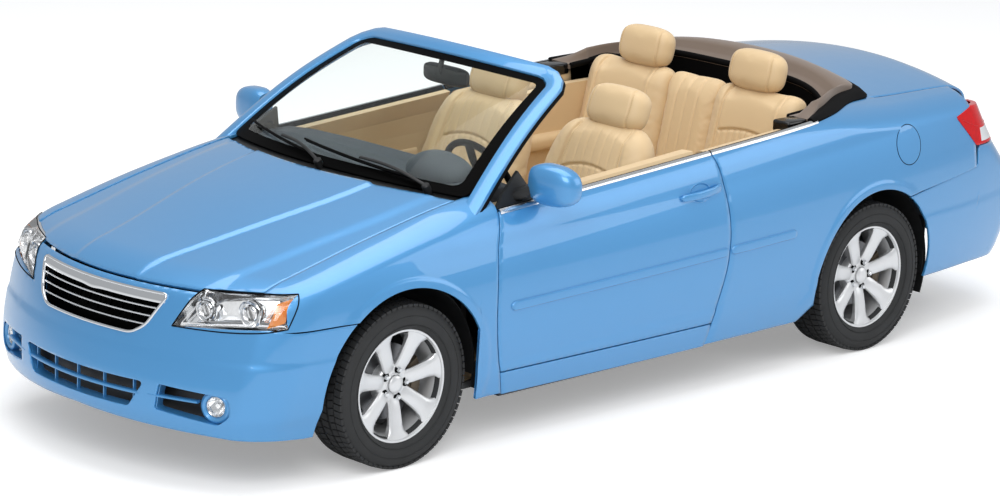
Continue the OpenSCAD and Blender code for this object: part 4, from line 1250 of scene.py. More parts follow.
    def mirror(self, side: Side) -> None:
        """Door mirror: painted housing, mirror glass, black foot and corner triangle."""
        body = f"door_{side.word}"
        rings = []
        n = 32
        for t in np.linspace(0, 1, 22):
            x = mix(797, 994, t)
            grow = max(0.0,
                       1 - abs((t - 0.3) / 0.71) ** 3) ** 0.42 if t > 0.3 else 1 - 0.2 * ((0.3 - t) / 0.3) ** 2
            a, b = 60 * grow + 1, 80 * grow + 1
            yc, zc = -776 + 22 * t + 4 * t * t, 1013 - 6 * t
            rings.append([(x, yc + min(u, 34), zc + w) for u, w in oval(a, b, n, 2.9)])
        pts = np.array(rings)
        pts[..., 0] *= side.value
        faces = grid_faces(len(rings), n, False, True) + [tuple(range(n))[::-1],
                                                          tuple(range((len(rings) - 1) * n,
                                                                      len(rings) * n))]
        head = outward(new_piece(f"mirror_housing_{side.word}", pts.reshape(-1, 3), faces, PAINT, body,
                                 "paint"), 35)
        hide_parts(f"mirror_{side.word}")
        glass = [(x * side.value, -776 + 35 + 0.12 * (x - 806), 1011 + z)
                 for x, z in [(mix(822, 974, 0.5) + u, w) for u, w in oval(76, 54, 32, 3.2)]]
        back = [(x, y - 3, z) for x, y, z in glass]
        outward(new_piece(f"mirror_glass_{side.word}", glass + back,
                          [tuple(range(32)), tuple(range(32, 64))[::-1]] + [(i, (i + 1) % 32,
                                                                             32 + (i + 1) % 32, 32 + i)
                                                                       for i in range(32)],
                          MIRROR, body, "glass"))
        path = np.array([(735, -830, 950), (765, -815, 968), (795, -795, 985), (822, -782, 990)], float)
        path[:, 0] *= side.value
        swept(f"mirror_foot_{side.word}", path, [(0, 0, 1)] * 4, oval(34, 24, 20, 3), BLACK_PLASTIC, body,
              "black_plastic")
        # Black triangle between the belt and the pillar
        corners = np.array([(770, -975, 905), (770, -740, 925), (715, -800, 1040), (742, -905, 968)], float)
        inner = corners - np.array([14, 0, 0])
        tri = np.concatenate([corners, inner])
        tri[:, 0] *= side.value
        outward(new_piece(f"mirror_sail_{side.word}", tri,
                          [(0, 1, 2, 3), (7, 6, 5, 4)] + [(i, (i + 1) % 4, 4 + (i + 1) % 4,
                                                           4 + i) for i in range(4)],
                          BLACK_PLASTIC, body, "black_plastic"))

    @staticmethod
    def glass(u: Grid, v: Grid, depth: Grid | float = 0.0) -> Grid:
        """Points on the windscreen's outer face: u across, v from the cowl to the header."""
        u, v = np.broadcast_arrays(np.asarray(u, float), np.asarray(v, float))
        low = np.stack([735 * u, -1190 + 165 * u * u, 985 - 22 * u * u], -1)
        high = np.stack([572 * u, -505 + 85 * u * u, 1368 - 32 * u * u], -1)
        n = np.stack([0.12 * u, np.full_like(u, -0.5), np.full_like(u, 0.86)], -1)
        return mix(low, high, v[..., None]) + (28 * np.sin(np.pi * v) - depth)[..., None] * n

    def windscreen(self) -> None:
        """Glass, black printed edge, painted hoop and its seals."""
        u, v = np.linspace(-0.94, 0.94, 41)[:, None], np.linspace(0.02, 0.955, 25)[None, :]
        verts, faces = slab(self.glass(u, v, 4.0), self.glass(u, v, 9.0))
        pane = outward(new_piece("windscreen_glass", verts, faces, GLASS, "body", "glass"))
        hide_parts("windscreen")
        # Printed black edge, just inside the glass
        outer = self.frit_loop(0.94, 0.0, 0.962, 0.05)
        inner = self.frit_loop(0.872, 0.06, 0.91, 0.05)
        for word, depth in (("outer", 3.2), ("inner", 10.0)):
            a = self.glass(outer[:, 0], outer[:, 1], depth)
            b = self.glass(inner[:, 0], inner[:, 1], depth)
            pts = np.stack([a, mix(a, b, 0.5), b])
            pts[1] = self.glass(*(mix(outer, inner, 0.5).T), depth)
            below = pts - np.array([0, -0.4, 0.7])
            n = len(outer)
            faces = grid_faces(3, n, False, True) + [tuple(reversed(f)) for f in
                                                     grid_faces(3, n, False, True, 3 * n)]
            faces += [(i, (i + 1) % n, 3 * n + (i + 1) % n, 3 * n + i) for i in range(n)]
            faces += [(2 * n + i, 2 * n + (i + 1) % n, 5 * n + (i + 1) % n, 5 * n + i) for i in range(n)]
            outward(new_piece(f"windscreen_print_{word}", np.concatenate([pts.reshape(-1, 3),
                                                                         below.reshape(-1, 3)]),
                              faces, INK, "body", "black_plastic"))
        self.hoop()

    def frit_loop(self, half: float, low: float, high: float, radius: float, n: int = 10) -> Grid:
        """Rounded loop in the glass's own coordinates.

        Args:
            half: Half width.
            low: Lower edge.
            high: Upper edge.
            radius: Corner radius.
            n: Steps of each corner.

        Returns:
            Points (u, v), the same number for every loop.
        """
        out = []
        centres = [(half - radius, low + radius, -90), (half - radius, high - radius, 0),
                   (-half + radius, high - radius, 90), (-half + radius, low + radius, 180)]
        for k, (cu, cv, start) in enumerate(centres):
            for j in range(n + 1):
                a = math.radians(start + 90 * j / n)
                out.append((cu + radius * math.cos(a), cv + radius * math.sin(a)))
            nu, nv, ns = centres[(k + 1) % 4]
            a, b = math.radians(start + 90), math.radians(ns)
            p = np.array((cu + radius * math.cos(a), cv + radius * math.sin(a)))
            q = np.array((nu + radius * math.cos(b), nv + radius * math.sin(b)))
            out += [tuple(mix(p, q, j / 16)) for j in range(1, 16)]
        return np.array(out)

    def hoop(self) -> None:
        """Painted pillars and header as one hoop swept around the glass, with black seals outside."""
        v = np.linspace(-0.145, 0.93, 26)
        left = self.glass(0.992, v, -4.0)
        right = self.glass(-0.992, v, -4.0)[::-1]
        u = np.linspace(0.90, -0.90, 30)
        head = self.glass(u, 1.005, -4.0)
        path = np.concatenate([left, head, right])
        for _ in range(1):
            path[1:-1] = (path[:-2] + 2 * path[1:-1] + path[2:]) / 4
        ups = np.tile(np.array([0, -0.45, 0.9]), (len(path), 1))
        ups[:, 0] = 0.25 * path[:, 0] / 700
        section = [(-34, -34), (-35, -4), (-31, 3), (-10, 9), (12, 10), (31, 5), (36, -3), (36, -22),
                   (30, -36)]
        hoop = swept("windscreen_hoop", path, ups, section, PAINT, "body", "paint", auto=40)
        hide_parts("windscreen_frame")
        seal = [(-41, -26), (-41, -14), (-37, -8), (-31, -8), (-31, -26)]
        edge = [(a * -1, b) for a, b in seal]
        swept("windscreen_side_seal", path, ups, edge, SEAL, "body", "black_plastic")

    def cowl(self) -> None:
        """Black cowl, and two wipers parked on the glass."""
        u = np.linspace(-1, 1, 61)
        x = 690 * u
        back = self.shell.bonnet_back(x)
        base = self.glass(x / 735, 0.0)
        v = np.linspace(0, 1, 10)[None, :]
        y = mix((back + 2)[:, None], (base[:, 1] + 60)[:, None], v)
        z = mix((self.shape.top(x, back) - 16)[:, None], (base[:, 2] + 14)[:, None], v ** 1.3) \
            - 8 * np.sin(np.pi * v)
        p = np.stack([np.broadcast_to(x[:, None], y.shape), y, z], -1)
        verts, faces = slab(p, p - np.array([0, 0, 10.0]))
        cowl = outward(new_piece("cowl_cover", verts, faces, BLACK_PLASTIC, "body", "black_plastic"))
        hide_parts("cowl_panel")
        for name, pivot, reach in (("driver", 470.0, 640.0), ("passenger", -60.0, 560.0)):
            k = np.linspace(0, 1, 30)
            foot = (pivot + 60) / 735
            tip = (pivot - reach) / 735
            arm = self.glass(mix(foot, mix(foot, tip, 0.5), k),
                             mix(0.0, 0.085, k) + 0.02 * np.sin(np.pi * k), -20)
            arm[:, 2] += 4 * np.sin(np.pi * k)
            ups = np.tile((0, -0.5, 0.86), (30, 1))
            swept(f"wiper_arm_{name}", arm, ups, oval(7, 4, 12, 3), BLACK_PLASTIC, "body",
                                "black_plastic")
            blade = self.glass(mix(foot - 0.06, tip, k), mix(0.035, 0.11, k), -9)
            swept(f"wiper_blade_{name}", blade, ups, [(-4, 4), (-5, 8), (0, 11), (5, 8), (4, 4), (0.8, 2),
                                                      (0.6, -7),
                                                      (-0.6, -7), (-0.8, 2)], SEAL, "body", "black_plastic")
            spun(f"wiper_pivot_{name}", [(0, 22), (12, 22), (16, 17), (17, 0), (17, -26)],
                 Matrix.Translation(tuple(self.glass(foot, 0.0, -4))) @ Matrix.Rotation(math.radians(30), 4,
                                                                                        "X"),
                 BLACK_PLASTIC, "body", "black_plastic", 24)
        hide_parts("wipers")


# ---------------------------------------------------------------- repeats


class Repeat:
    """Geometry Nodes generators for pieces that come in rows, rings and seams."""

    @staticmethod
    def tree(name: str, sockets: Sequence[tuple[str, str]]) -> tuple:
        """Starts a node group with a piece, a material and the given named inputs.

        Args:
            name: Name of the group.
            sockets: Name and socket type of each input.

        Returns:
            The group, its input node and its instancing node.
        """
        group = bpy.data.node_groups.new(name, "GeometryNodeTree")
        group.interface.new_socket(name="Geometry", in_out="INPUT", socket_type="NodeSocketGeometry")
        for label, kind in [("Piece", "NodeSocketObject"), ("Material", "NodeSocketMaterial"), *sockets]:
            group.interface.new_socket(name=label, in_out="INPUT", socket_type=kind)
        group.interface.new_socket(name="Geometry", in_out="OUTPUT", socket_type="NodeSocketGeometry")
        source = group.nodes.new("NodeGroupInput")
        piece = add(group, "GeometryNodeObjectInfo", {"Object": source.outputs["Piece"]})
        copies = add(group, "GeometryNodeInstanceOnPoints", {"Instance": piece.outputs["Geometry"]})
        real = add(group, "GeometryNodeRealizeInstances", {"Geometry": copies.outputs["Instances"]})
        dress = add(group, "GeometryNodeSetMaterial", {"Geometry": real.outputs["Geometry"],
                                                       "Material": source.outputs["Material"]})
        sink = group.nodes.new("NodeGroupOutput")
        group.links.new(dress.outputs["Geometry"], sink.inputs["Geometry"])
        return group, source, copies

    @staticmethod
    def along(group_name: str = "seam_copies") -> bpy.types.NodeTree:
        """Group that spaces copies along a line and turns them to follow it."""
        found = bpy.data.node_groups.get(group_name)
        if found:
            return found
        group, source, copies = Repeat.tree(group_name, [("Spacing", "NodeSocketFloat"),
                                                         ("Align", "NodeSocketFloat")])
        curve = add(group, "GeometryNodeMeshToCurve", {"Mesh": source.outputs["Geometry"]})
        spaced = add(group, "GeometryNodeResampleCurve", {"Curve": curve.outputs["Curve"],
                                                          "Length": source.outputs["Spacing"]}, mode="LENGTH")
        tangent = add(group, "GeometryNodeInputTangent")
        turn = add(group, "FunctionNodeAlignRotationToVector", {"Vector": tangent.outputs["Tangent"],
                                                                "Factor": source.outputs["Align"]}, axis="X")
        group.links.new(spaced.outputs["Curve"], copies.inputs["Points"])
        group.links.new(turn.outputs["Rotation"], copies.inputs["Rotation"])
        return group

    @staticmethod
    def around(group_name: str = "ring_copies") -> bpy.types.NodeTree:
        """Group that places copies around the Z axis, turned to face outwards."""
        found = bpy.data.node_groups.get(group_name)
        if found:
            return found
        group, source, copies = Repeat.tree(group_name, [
            ("Count", "NodeSocketInt"), ("Radius", "NodeSocketFloat"), ("Height", "NodeSocketFloat"),
            ("Start", "NodeSocketFloat")])
        number = add(group, "GeometryNodeInputIndex")
        step = add(group, "ShaderNodeMath", {0: math.tau, 1: source.outputs["Count"]}, operation="DIVIDE")
        angle = add(group, "ShaderNodeMath", {0: number.outputs["Index"], 1: step.outputs[0],
                                              2: source.outputs["Start"]}, operation="MULTIPLY_ADD")
        flat = [add(group, "ShaderNodeMath", {0: angle.outputs[0]}, operation=op) for op in ("COSINE",
                                                                                             "SINE")]
        reach = [add(group, "ShaderNodeMath", {0: f.outputs[0], 1: source.outputs["Radius"]},
                     operation="MULTIPLY") for f in flat]
        place = add(group, "ShaderNodeCombineXYZ", {"X": reach[0].outputs[0], "Y": reach[1].outputs[0],
                                                    "Z": source.outputs["Height"]})
        points = add(group, "GeometryNodePoints", {"Count": source.outputs["Count"],
                                                   "Position": place.outputs["Vector"]})
        turn = add(group, "ShaderNodeCombineXYZ", {"Z": angle.outputs[0]})
        group.links.new(points.outputs[0], copies.inputs["Points"])
        group.links.new(turn.outputs["Vector"], copies.inputs["Rotation"])
        return group

    @staticmethod
    def run(name: str, group: bpy.types.NodeTree, base: Sequence, piece: tuple, finish: Finish, body: str,
            slot: str, inputs: dict, place: Matrix | None = None, auto: float = 40.0) -> bpy.types.Object:
        """Runs a generator and returns its copies as one mesh.

        Args:
            name: Name of the result.
            group: The generator.
            base: Points of the line to follow, in millimetres, or nothing.
            piece: Points and faces of one copy, in millimetres.
            finish: Finish of the copies.
            body: Body that carries them.
            slot: Not used.
            inputs: Values of the generator's inputs, in metres and radians.
            place: Moves the result, in millimetres.
            auto: Angle of sharp edges.

        Returns:
            The piece.
        """
        one = bpy.data.meshes.new("one")
        one.from_pydata((np.asarray(piece[0], float) * MM).tolist(), [],
                        [list(map(int, f)) for f in piece[1]])
        single = bpy.data.objects.new("one", one)
        line = bpy.data.meshes.new(name)
        base = (np.asarray(base, float).reshape(-1, 3) * MM).tolist()
        line.from_pydata(base, [(i, i + 1) for i in range(len(base) - 1)], [])
        obj = bpy.data.objects.new(name, line)
        bpy.context.scene.collection.objects.link(obj)
        mod = obj.modifiers.new("repeat", "NODES")
        mod.node_group = group
        values = {"Piece": single, "Material": finish.build(), **inputs}
        for item in group.interface.items_tree:
            if item.item_type == "SOCKET" and item.in_out == "INPUT" and item.name in values:
                mod[item.identifier] = values[item.name]
        bake(obj, auto)
        if place is not None:
            m = Matrix(place)
            m.translation *= MM
            obj.data.transform(m)
        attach(obj, body)
        return obj


def brick(x: float, y: float, z: float, shift: Sequence[float] = (0, 0, 0), taper: float = 1.0) -> tuple:
    """Points and faces of a box around a centre, with a narrower top when tapered."""
    pts = [(sx * x * (taper if sz > 0 else 1) + shift[0], sy * y * (taper if sz > 0 else 1) + shift[1],
            sz * z + shift[2]) for sz in (-0.5, 0.5) for sx, sy in ((-0.5, -0.5), (0.5, -0.5), (0.5, 0.5),
                                                                    (-0.5, 0.5))]
    faces = [(3, 2, 1, 0), (4, 5, 6, 7)] + [(i, (i + 1) % 4, (i + 1) % 4 + 4, i + 4) for i in range(4)]
    return pts, faces


def box_piece(name: str, low: Sequence[float], high: Sequence[float], finish: Finish, body: str, slot: str,
              bevel: float = 3.0) -> bpy.types.Object:
    """Makes a box with rounded edges between two corners."""
    size = [b - a for a, b in zip(low, high)]
    middle = [(a + b) / 2 for a, b in zip(low, high)]
    pts, faces = brick(*size, middle)
    obj = new_piece(name, pts, faces, finish, body, slot)
    edge = obj.modifiers.new("edge", "BEVEL")
    edge.width, edge.segments = bevel * MM, 3
    return bake(obj)


SHELL = Shell()


@dataclass
class FrontFace:
    """Grille, air openings and fog lamps.

    Args:
        slat_gap: Spacing of the slats behind the grille bars.
        bars: Heights of the bright grille bars.
    """

    slat_gap: float = 58.0
    bars: tuple = (648.0, 618.0, 586.0)

    def build(self) -> None:
        """Builds the grille, the openings and the fog lamps."""
        self.grille()
        self.lower()
        for side in Side:
            self.side_opening(side)

    @staticmethod
    def front(x: Grid, z: Grid, depth: float = 0.0) -> Grid:
        """Points on the front face of the body."""
        x, z = np.broadcast_arrays(np.asarray(x, float), np.asarray(z, float))
        o = np.stack([x, np.full(x.shape, -1500.0), z], -1)
        return SHAPE.hit(o, np.array([0, -1.0, 0]), depth, 1200)

    def loop(self, outline: Sequence, depth: float) -> Grid:
        """Outline on the front face, evenly spaced."""
        pts = np.array(list(outline) + [outline[0]])
        cum = np.concatenate([[0], np.cumsum(np.linalg.norm(np.diff(pts, axis=0), axis=1))])
        t = np.linspace(0, cum[-1], 181)[:-1]
        return self.front(np.interp(t, cum, pts[:, 0]), np.interp(t, cum, pts[:, 1]), depth)

    def half_at(self, z: float) -> float:
        """Half width of the grille opening at a height."""
        return float(np.interp(z, [546, 585, 706], [240, 306, 372]))

    def grille(self) -> None:
        """Builds the bright frame, its bars and the dark slats behind."""
        back = self.front(*np.meshgrid(np.linspace(-385, 385, 31), np.linspace(515, 716, 9), indexing="ij"),
                          78)
        rear = panel("grille_backing", back, 3, INK, "body", "black_plastic", bevel=0)
        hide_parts("grille")
        ring = self.loop(SHELL.grille_outline(-3), 2)
        swept("grille_frame", ring, SHAPE.normal(ring), oval(6.5, 9, 14), CHROME, "body", "steel",
              closed=True)
        x = np.linspace(-364, 364, 61)
        top, low = 703 + 7 * np.exp(-(x / 26) ** 4), 668 - 5 * np.exp(-(x / 40) ** 2)
        rows = [self.front(x, mix(low, top, k), d) for k, d in ((0, 8), (0.06, 1), (0.5, -4), (0.94, -3),
                                                                (1, 6))]
        bar = panel("grille_top_bar", np.stack(rows, 1), 6, CHROME, "body", "steel", bevel=1)
        bar.data.update()
        for z in self.bars:
            half = self.half_at(z) - 4
            path = self.front(np.linspace(-half, half, 41), z, 10)
            swept("grille_bar", path, SHAPE.normal(path), oval(4.2, 7, 12), CHROME, "body", "steel")
        path = self.front(np.linspace(-310, 310, 41), 636, 66)
        lean = math.tan(math.radians(25))
        pts, faces = brick(4, 12, 110)
        pts = [(px, py + pz * lean, pz) for px, py, pz in pts]
        Repeat.run("grille_slats", Repeat.along(), path, (pts, faces), INK, "body", "black_plastic",
                   {"Spacing": self.slat_gap * MM, "Align": 0.0})

    def lower(self) -> None:
        """Builds the lower opening with its bar and uprights."""
        x, z = np.meshgrid(np.linspace(-370, 370, 31), np.linspace(262, 400, 7), indexing="ij")
        panel("lower_backing", self.front(x, z, 62), 3, BLACK_PLASTIC, "body", "black_plastic", bevel=0)
        path = self.front(np.linspace(-322, 322, 41), 336, 14)
        swept("lower_bar", path, SHAPE.normal(path), oval(7, 16, 16, 2.6), PAINT, "body", "paint")
        inner = self.front(np.linspace(-290, 290, 41), 334, 22)
        Repeat.run("lower_uprights", Repeat.along(), inner, brick(5, 12, 104), PAINT, "body",
                   "paint", {"Spacing": 0.145, "Align": 0.0})
        ring = self.loop(SHELL.lower_outline(0), 20)
        swept("lower_return", ring, SHAPE.normal(ring), [(-1.5, -22), (1.5, -22), (1.5, 18), (-1.5, 18)],
              PAINT, "body", "paint", closed=True)

    def side_opening(self, side: Side) -> None:
        """Builds one side opening with its fin and fog lamp."""
        s = side.value
        x, z = np.meshgrid(s * np.linspace(330, 720, 15)[::s], np.linspace(245, 392, 9), indexing="ij")
        panel("side_backing", self.front(x, z, 95), 3, BLACK_PLASTIC, "body", "black_plastic", bevel=0)
        ring = self.loop(SHELL.fog_outline(side), 20)
        swept("side_return", ring, SHAPE.normal(ring), [(-1.5, -22), (1.5, -22), (1.5, 18), (-1.5, 18)],
              PAINT, "body", "paint", closed=True)
        path = self.front(s * np.linspace(368, 560, 21), 341, 12)
        swept("side_fin", path, SHAPE.normal(path), oval(6, 18, 16, 2.6), PAINT, "body", "paint")
        centre = self.front(np.array(s * 618.0), np.array(328.0), 20)
        axis = Vector((s * 0.34, -0.94, 0)).normalized()
        place = Matrix.Translation(centre.tolist()) @ axis.to_track_quat("Z", "Y").to_matrix().to_4x4()
        spun("fog_bezel", [(38, -70), (38, -6), (42, 6), (52, 12), (61, 6), (65, -12), (65, -70)], place,
             PAINT, "body", "paint")
        bowl = [(0, -46), (12, -45), (22, -36), (32, -16), (36, -2), (38, -2), (38, -50), (0, -50)]
        spun("fog_reflector", bowl, place, REFLECTOR, "body", "lamp_clear")
        spun("fog_bulb_cap", [(0, -12), (9, -13), (11, -18), (11, -40), (0, -40)], place, CHROME, "body",
             "lamp_clear")
        glass = [(0, 6), (18, 5), (30, 1), (35, -4), (37, -8), (34, -8), (28, -2), (16, 2), (0, 3)]
        lens = spun("fog_lens", glass, place, LENS, "body", "lamp_clear")
        spun("fog_ring", [(36, -8), (36, 0), (38, 2), (40, 0), (40, -8)], place, CHROME, "body", "steel")
        if side is Side.LEFT:
            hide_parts("fog_lights")


@dataclass
class Headlamps:
    """Clear headlamps with two bowls and an amber end.

    Args:
        corners: Corners of the lens as (s, z), inner low first.
    """

    corners: tuple = ((0.35, 602.0), (0.846, 631.0), (0.94, 746.0), (0.397, 735.0))

    def build(self) -> None:
        """Builds both headlamps."""
        for side in Side:
            self.lamp(side)

    def at(self, u: Grid, v: Grid, depth: float, side: Side) -> Grid:
        """Points of the lens face between the corners, u outwards and v upwards."""
        (a, b, c, d) = (np.array(p) for p in self.corners)
        u, v = (np.asarray(q, float)[..., None] for q in np.broadcast_arrays(u, v))
        p = (1 - u) * (1 - v) * a + u * (1 - v) * b + u * v * c + (1 - u) * v * d
        bow = 4 * np.clip(u, 0, 1) * (1 - np.clip(u, 0, 1))
        z = p[..., 1] - 7 * bow[..., 0] * (1 - v[..., 0])
        q = SHAPE.ring(End.FRONT, p[..., 0], z, depth)
        q[..., 0] *= side.value
        return q

    def rim(self, grow: float = 0.0) -> list:
        """Rounded outline of the lamp as (u, v)."""
        g = grow
        pts = rounded([(0 - g, 0 - 2 * g), (1 + g, 0 - 2 * g), (1 + g, 1 + 2 * g), (0 - g, 1 + 2 * g)],
                      [0.07, 0.26, 0.26, 0.16], 8)
        return pts

    def lens(self, name: str, depth: float, thick: float, finish: Finish, side: Side, slot: str,
             inset: float = 0.0) -> bpy.types.Object:
        """Makes a sheet with the lamp's rounded outline."""
        pts = np.array(self.rim(-inset))
        centre = np.array([0.5, 0.5])
        rings = np.linspace(0, 1, 10)[:, None, None]
        grid = centre + (pts[None] - centre) * rings
        outer = self.at(grid[..., 0], grid[..., 1], depth, side)
        inner = self.at(grid[..., 0], grid[..., 1], depth + thick, side)
        n, m = grid.shape[:2]
        faces = grid_faces(n, m, False, True) + [tuple(reversed(f)) for f in grid_faces(n, m, False, True,
                                                                                        n * m)]
        faces += [((n - 1) * m + j, (n - 1) * m + (j + 1) % m, 2 * n * m - m + (j + 1) % m,
                   2 * n * m - m + j)
                  for j in range(m)]
        pts3 = np.concatenate([outer.reshape(-1, 3), inner.reshape(-1, 3)])
        return outward(new_piece(name, pts3, faces, finish, "body", slot, 50), 50)

    def lamp(self, side: Side) -> None:
        """Builds one headlamp."""
        s = side.value
        cover = self.lens("headlamp_lens", -1.5, 3, LENS, side, "lamp_clear")
        if side is Side.LEFT:
            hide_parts("headlights")
        self.lens("headlamp_housing", 62, 4, REFLECTOR, side, "lamp_clear", -0.01)
        edge = self.rim(0.004)
        t = np.array(edge + [edge[0]])
        k = np.linspace(0, len(t) - 1, 161)[:-1]
        u, v = np.interp(k, np.arange(len(t)), t[:, 0]), np.interp(k, np.arange(len(t)), t[:, 1])
        wall = np.stack([self.at(u, v, d, side) for d in (2, 20, 40, 64)], 1)
        verts, faces = wall.reshape(-1, 3), grid_faces(len(k), 4, True)
        shell = new_piece("headlamp_wall", verts, faces, REFLECTOR, "body", "lamp_clear")
        thick = shell.modifiers.new("wall", "SOLIDIFY")
        thick.thickness = 2 * MM
        bake(shell)
        path = self.at(u, v, 0.5, side)
        swept("headlamp_gasket", path, SHAPE.normal(path * [s, 1, 1]) * [s, 1, 1], oval(2.6, 3.4, 8), SEAL,
              "body", "black_plastic", closed=True)
        inner = np.array(self.rim(-0.03))
        line = self.at(np.append(inner[:, 0], inner[0, 0]), np.append(inner[:, 1], inner[0, 1]), 14, side)
        swept("headlamp_lip", line[:-1], SHAPE.normal(line[:-1] * [s, 1, 1]) * [s, 1, 1],
              [(-5, -3), (5, -3), (5, 3), (-5, 3)], REFLECTOR, "body", "lamp_clear", closed=True)
        for u, v, size, deep in ((0.1, 0.5, 46, 26), (0.47, 0.5, 50, 24)):
            centre = self.at(np.array(u), np.array(v), deep, side)
            face = Vector((SHAPE.normal(centre * [s, 1, 1]) * [s, 1, 1]).tolist())
            axis = (Vector((0, -1, 0.0)) * 0.75 + Vector((face.x, face.y, 0)) * 0.5).normalized()
            place = Matrix.Translation(centre.tolist()) @ axis.to_track_quat("Z", "Y").to_matrix().to_4x4()
            k = size / 40
            bowl = [(0, -34), (9, -34), (20, -27), (31, -13), (36, 0), (39, 6), (41, 4), (41, -10),
                    (30, -40), (0, -44)]
            spun("headlamp_bowl", [(r * k, h) for r, h in bowl], place, REFLECTOR, "body", "lamp_clear")
            spun("headlamp_ring", [(26, -6), (27, 3), (30, 6), (33, 3), (33, -6)], place, CHROME, "body",
                 "steel")
            spun("headlamp_globe", [(0, 5), (9, 3.5), (18, -2), (24, -10), (24, -14), (0, -14)], place,
                 LENS,
                 "body", "lamp_clear")
            spun("headlamp_bulb", [(0, -16), (6, -17), (8, -22), (8, -34), (0, -34)], place, GLOSS_BLACK,
                 "body", "lamp_clear")
        u, v = np.meshgrid(np.linspace(0.76, 0.94, 7), np.linspace(0.1, 0.78, 9), indexing="ij")
        v = v + (u - 0.76) * 0.5
        amber = self.at(u, v, 9, side)
        verts, faces = slab(amber, self.at(u, v, 15, side))
        outward(new_piece("indicator", verts, faces, AMBER_LENS, "body", "lamp_clear"))
        rib = self.at(np.full(12, 0.72), np.linspace(0.3, 0.8, 12), 10, side)
        Repeat.run("indicator_ribs", Repeat.along(), rib, brick(14, 5, 1.4), AMBER_LENS, "body",
                   "lamp_clear",
                   {"Spacing": 6 * MM, "Align": 0.0})


HEADLAMPS = Headlamps()


@dataclass
class TailLamps:
    """Red tail lamps with a small clear field."""

    def build(self) -> None:
        """Builds both tail lamps."""
        for side in Side:
            self.lamp(side)

    @staticmethod
    def limits(s: Grid) -> tuple[Grid, Grid]:
        """Lower and upper edge of the lamp at stations around the corner."""
        end = 1.66
        low = np.where(s < 1, 793, mix(793, 926, (s - 1) / (end - 1)))
        high = np.where(s < 1, mix(950, 962, (s - 0.5) / 0.5), mix(962, 934, (s - 1) / (end - 1)))
        return low, high

    def face(self, s0: float, s1: float, v0: float, v1: float, depth: float, side: Side,
             size: tuple = (40, 16)) -> Grid:
        """Grid over a field of the lamp."""
        s = np.linspace(s0, s1, size[0])
        low, high = self.limits(s)
        v = np.linspace(v0, v1, size[1])
        z = mix(low[:, None], high[:, None], v[None])
        p = SHAPE.ring(End.REAR, np.broadcast_to(s[:, None], z.shape), z, depth)
        p[..., 0] *= side.value
        return p

    def lamp(self, side: Side) -> None:
        """Builds one tail lamp."""
        verts, faces = slab(*(self.face(0.522, 1.65, 0.0, 1.0, depth, side) for depth in (-3, 22)))
        lens = outward(new_piece("tail_lens", verts, faces, RED_LENS, "body", "lamp_clear"))
        edge = lens.modifiers.new("edge", "BEVEL")
        edge.width, edge.segments, edge.limit_method = 3 * MM, 3, "ANGLE"
        bake(lens)
        if side is Side.LEFT:
            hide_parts("tail_lights")
        for name, s0, s1, v0, v1, finish in (("reverse_lens", 0.72, 0.93, 0.08, 0.42, WHITE_LENS),
                                             ("rear_indicator", 0.56, 0.7, 0.08, 0.42, AMBER_LENS)):
            outer, inner = self.face(s0, s1, v0, v1, -4.5, side, (20, 8)), self.face(s0, s1, v0, v1, 0,
                                                                                     side, (20, 8))
            verts, faces = slab(outer, inner)
            obj = outward(new_piece(name, verts, faces, finish, "body", "lamp_clear"))
            edge = obj.modifiers.new("edge", "BEVEL")
            edge.width, edge.segments, edge.limit_method = 1.5 * MM, 2, "ANGLE"
            bake(obj)
        rib = self.face(0.53, 1.5, 0.5, 0.5, -3.4, side, (60, 2))[:, 0]
        swept("tail_rib", rib, SHAPE.normal(rib * [side.value, 1, 1]) * [side.value, 1, 1],
              oval(1.6, 1.6, 8),
              RED_LENS, "body", "lamp_clear")


@dataclass
class FuelDoor:
    """Round filler door in the left rear wing."""

    centre: tuple = (1423.0, 872.0)
    radius: float = 84.0

    def build(self) -> None:
        """Builds the filler door, with a black ring around it as painted shade of its gap."""
        t = np.arange(72) / 72 * math.tau
        ring = SHAPE.side(self.centre[0] + self.radius * np.cos(t),
                          self.centre[1] + self.radius * np.sin(t), -0.2)
        # A black ring on the unbroken paint is painted shade standing in for the gap around the door
        swept("fuel_door_seam", ring, SHAPE.normal(ring), oval(1.6, 0.8, 8), SEAL, "body", "black_plastic",
              closed=True)
        rr, tt = np.meshgrid(np.linspace(0.02, 1, 10) * (self.radius - 3), t, indexing="ij")
        face = SHAPE.side(self.centre[0] + rr * np.cos(tt), self.centre[1] + rr * np.sin(tt), -1.0)
        inner = SHAPE.side(self.centre[0] + rr * np.cos(tt), self.centre[1] + rr * np.sin(tt), 1.0)
        n, m = rr.shape
        faces = grid_faces(n, m, False, True) + [tuple(reversed(f)) for f in grid_faces(n, m, False, True,
                                                                                        n * m)]
        faces += [((n - 1) * m + j, (n - 1) * m + (j + 1) % m, 2 * n * m - m + (j + 1) % m,
                   2 * n * m - m + j)
                  for j in range(m)] + [tuple(range(m))[::-1], tuple(range(n * m, n * m + m))]
        outward(new_piece("fuel_door", np.concatenate([face.reshape(-1, 3), inner.reshape(-1, 3)]), faces,
                          PAINT,
                          "body", "paint"))


# ---------------------------------------------------------------- wheels


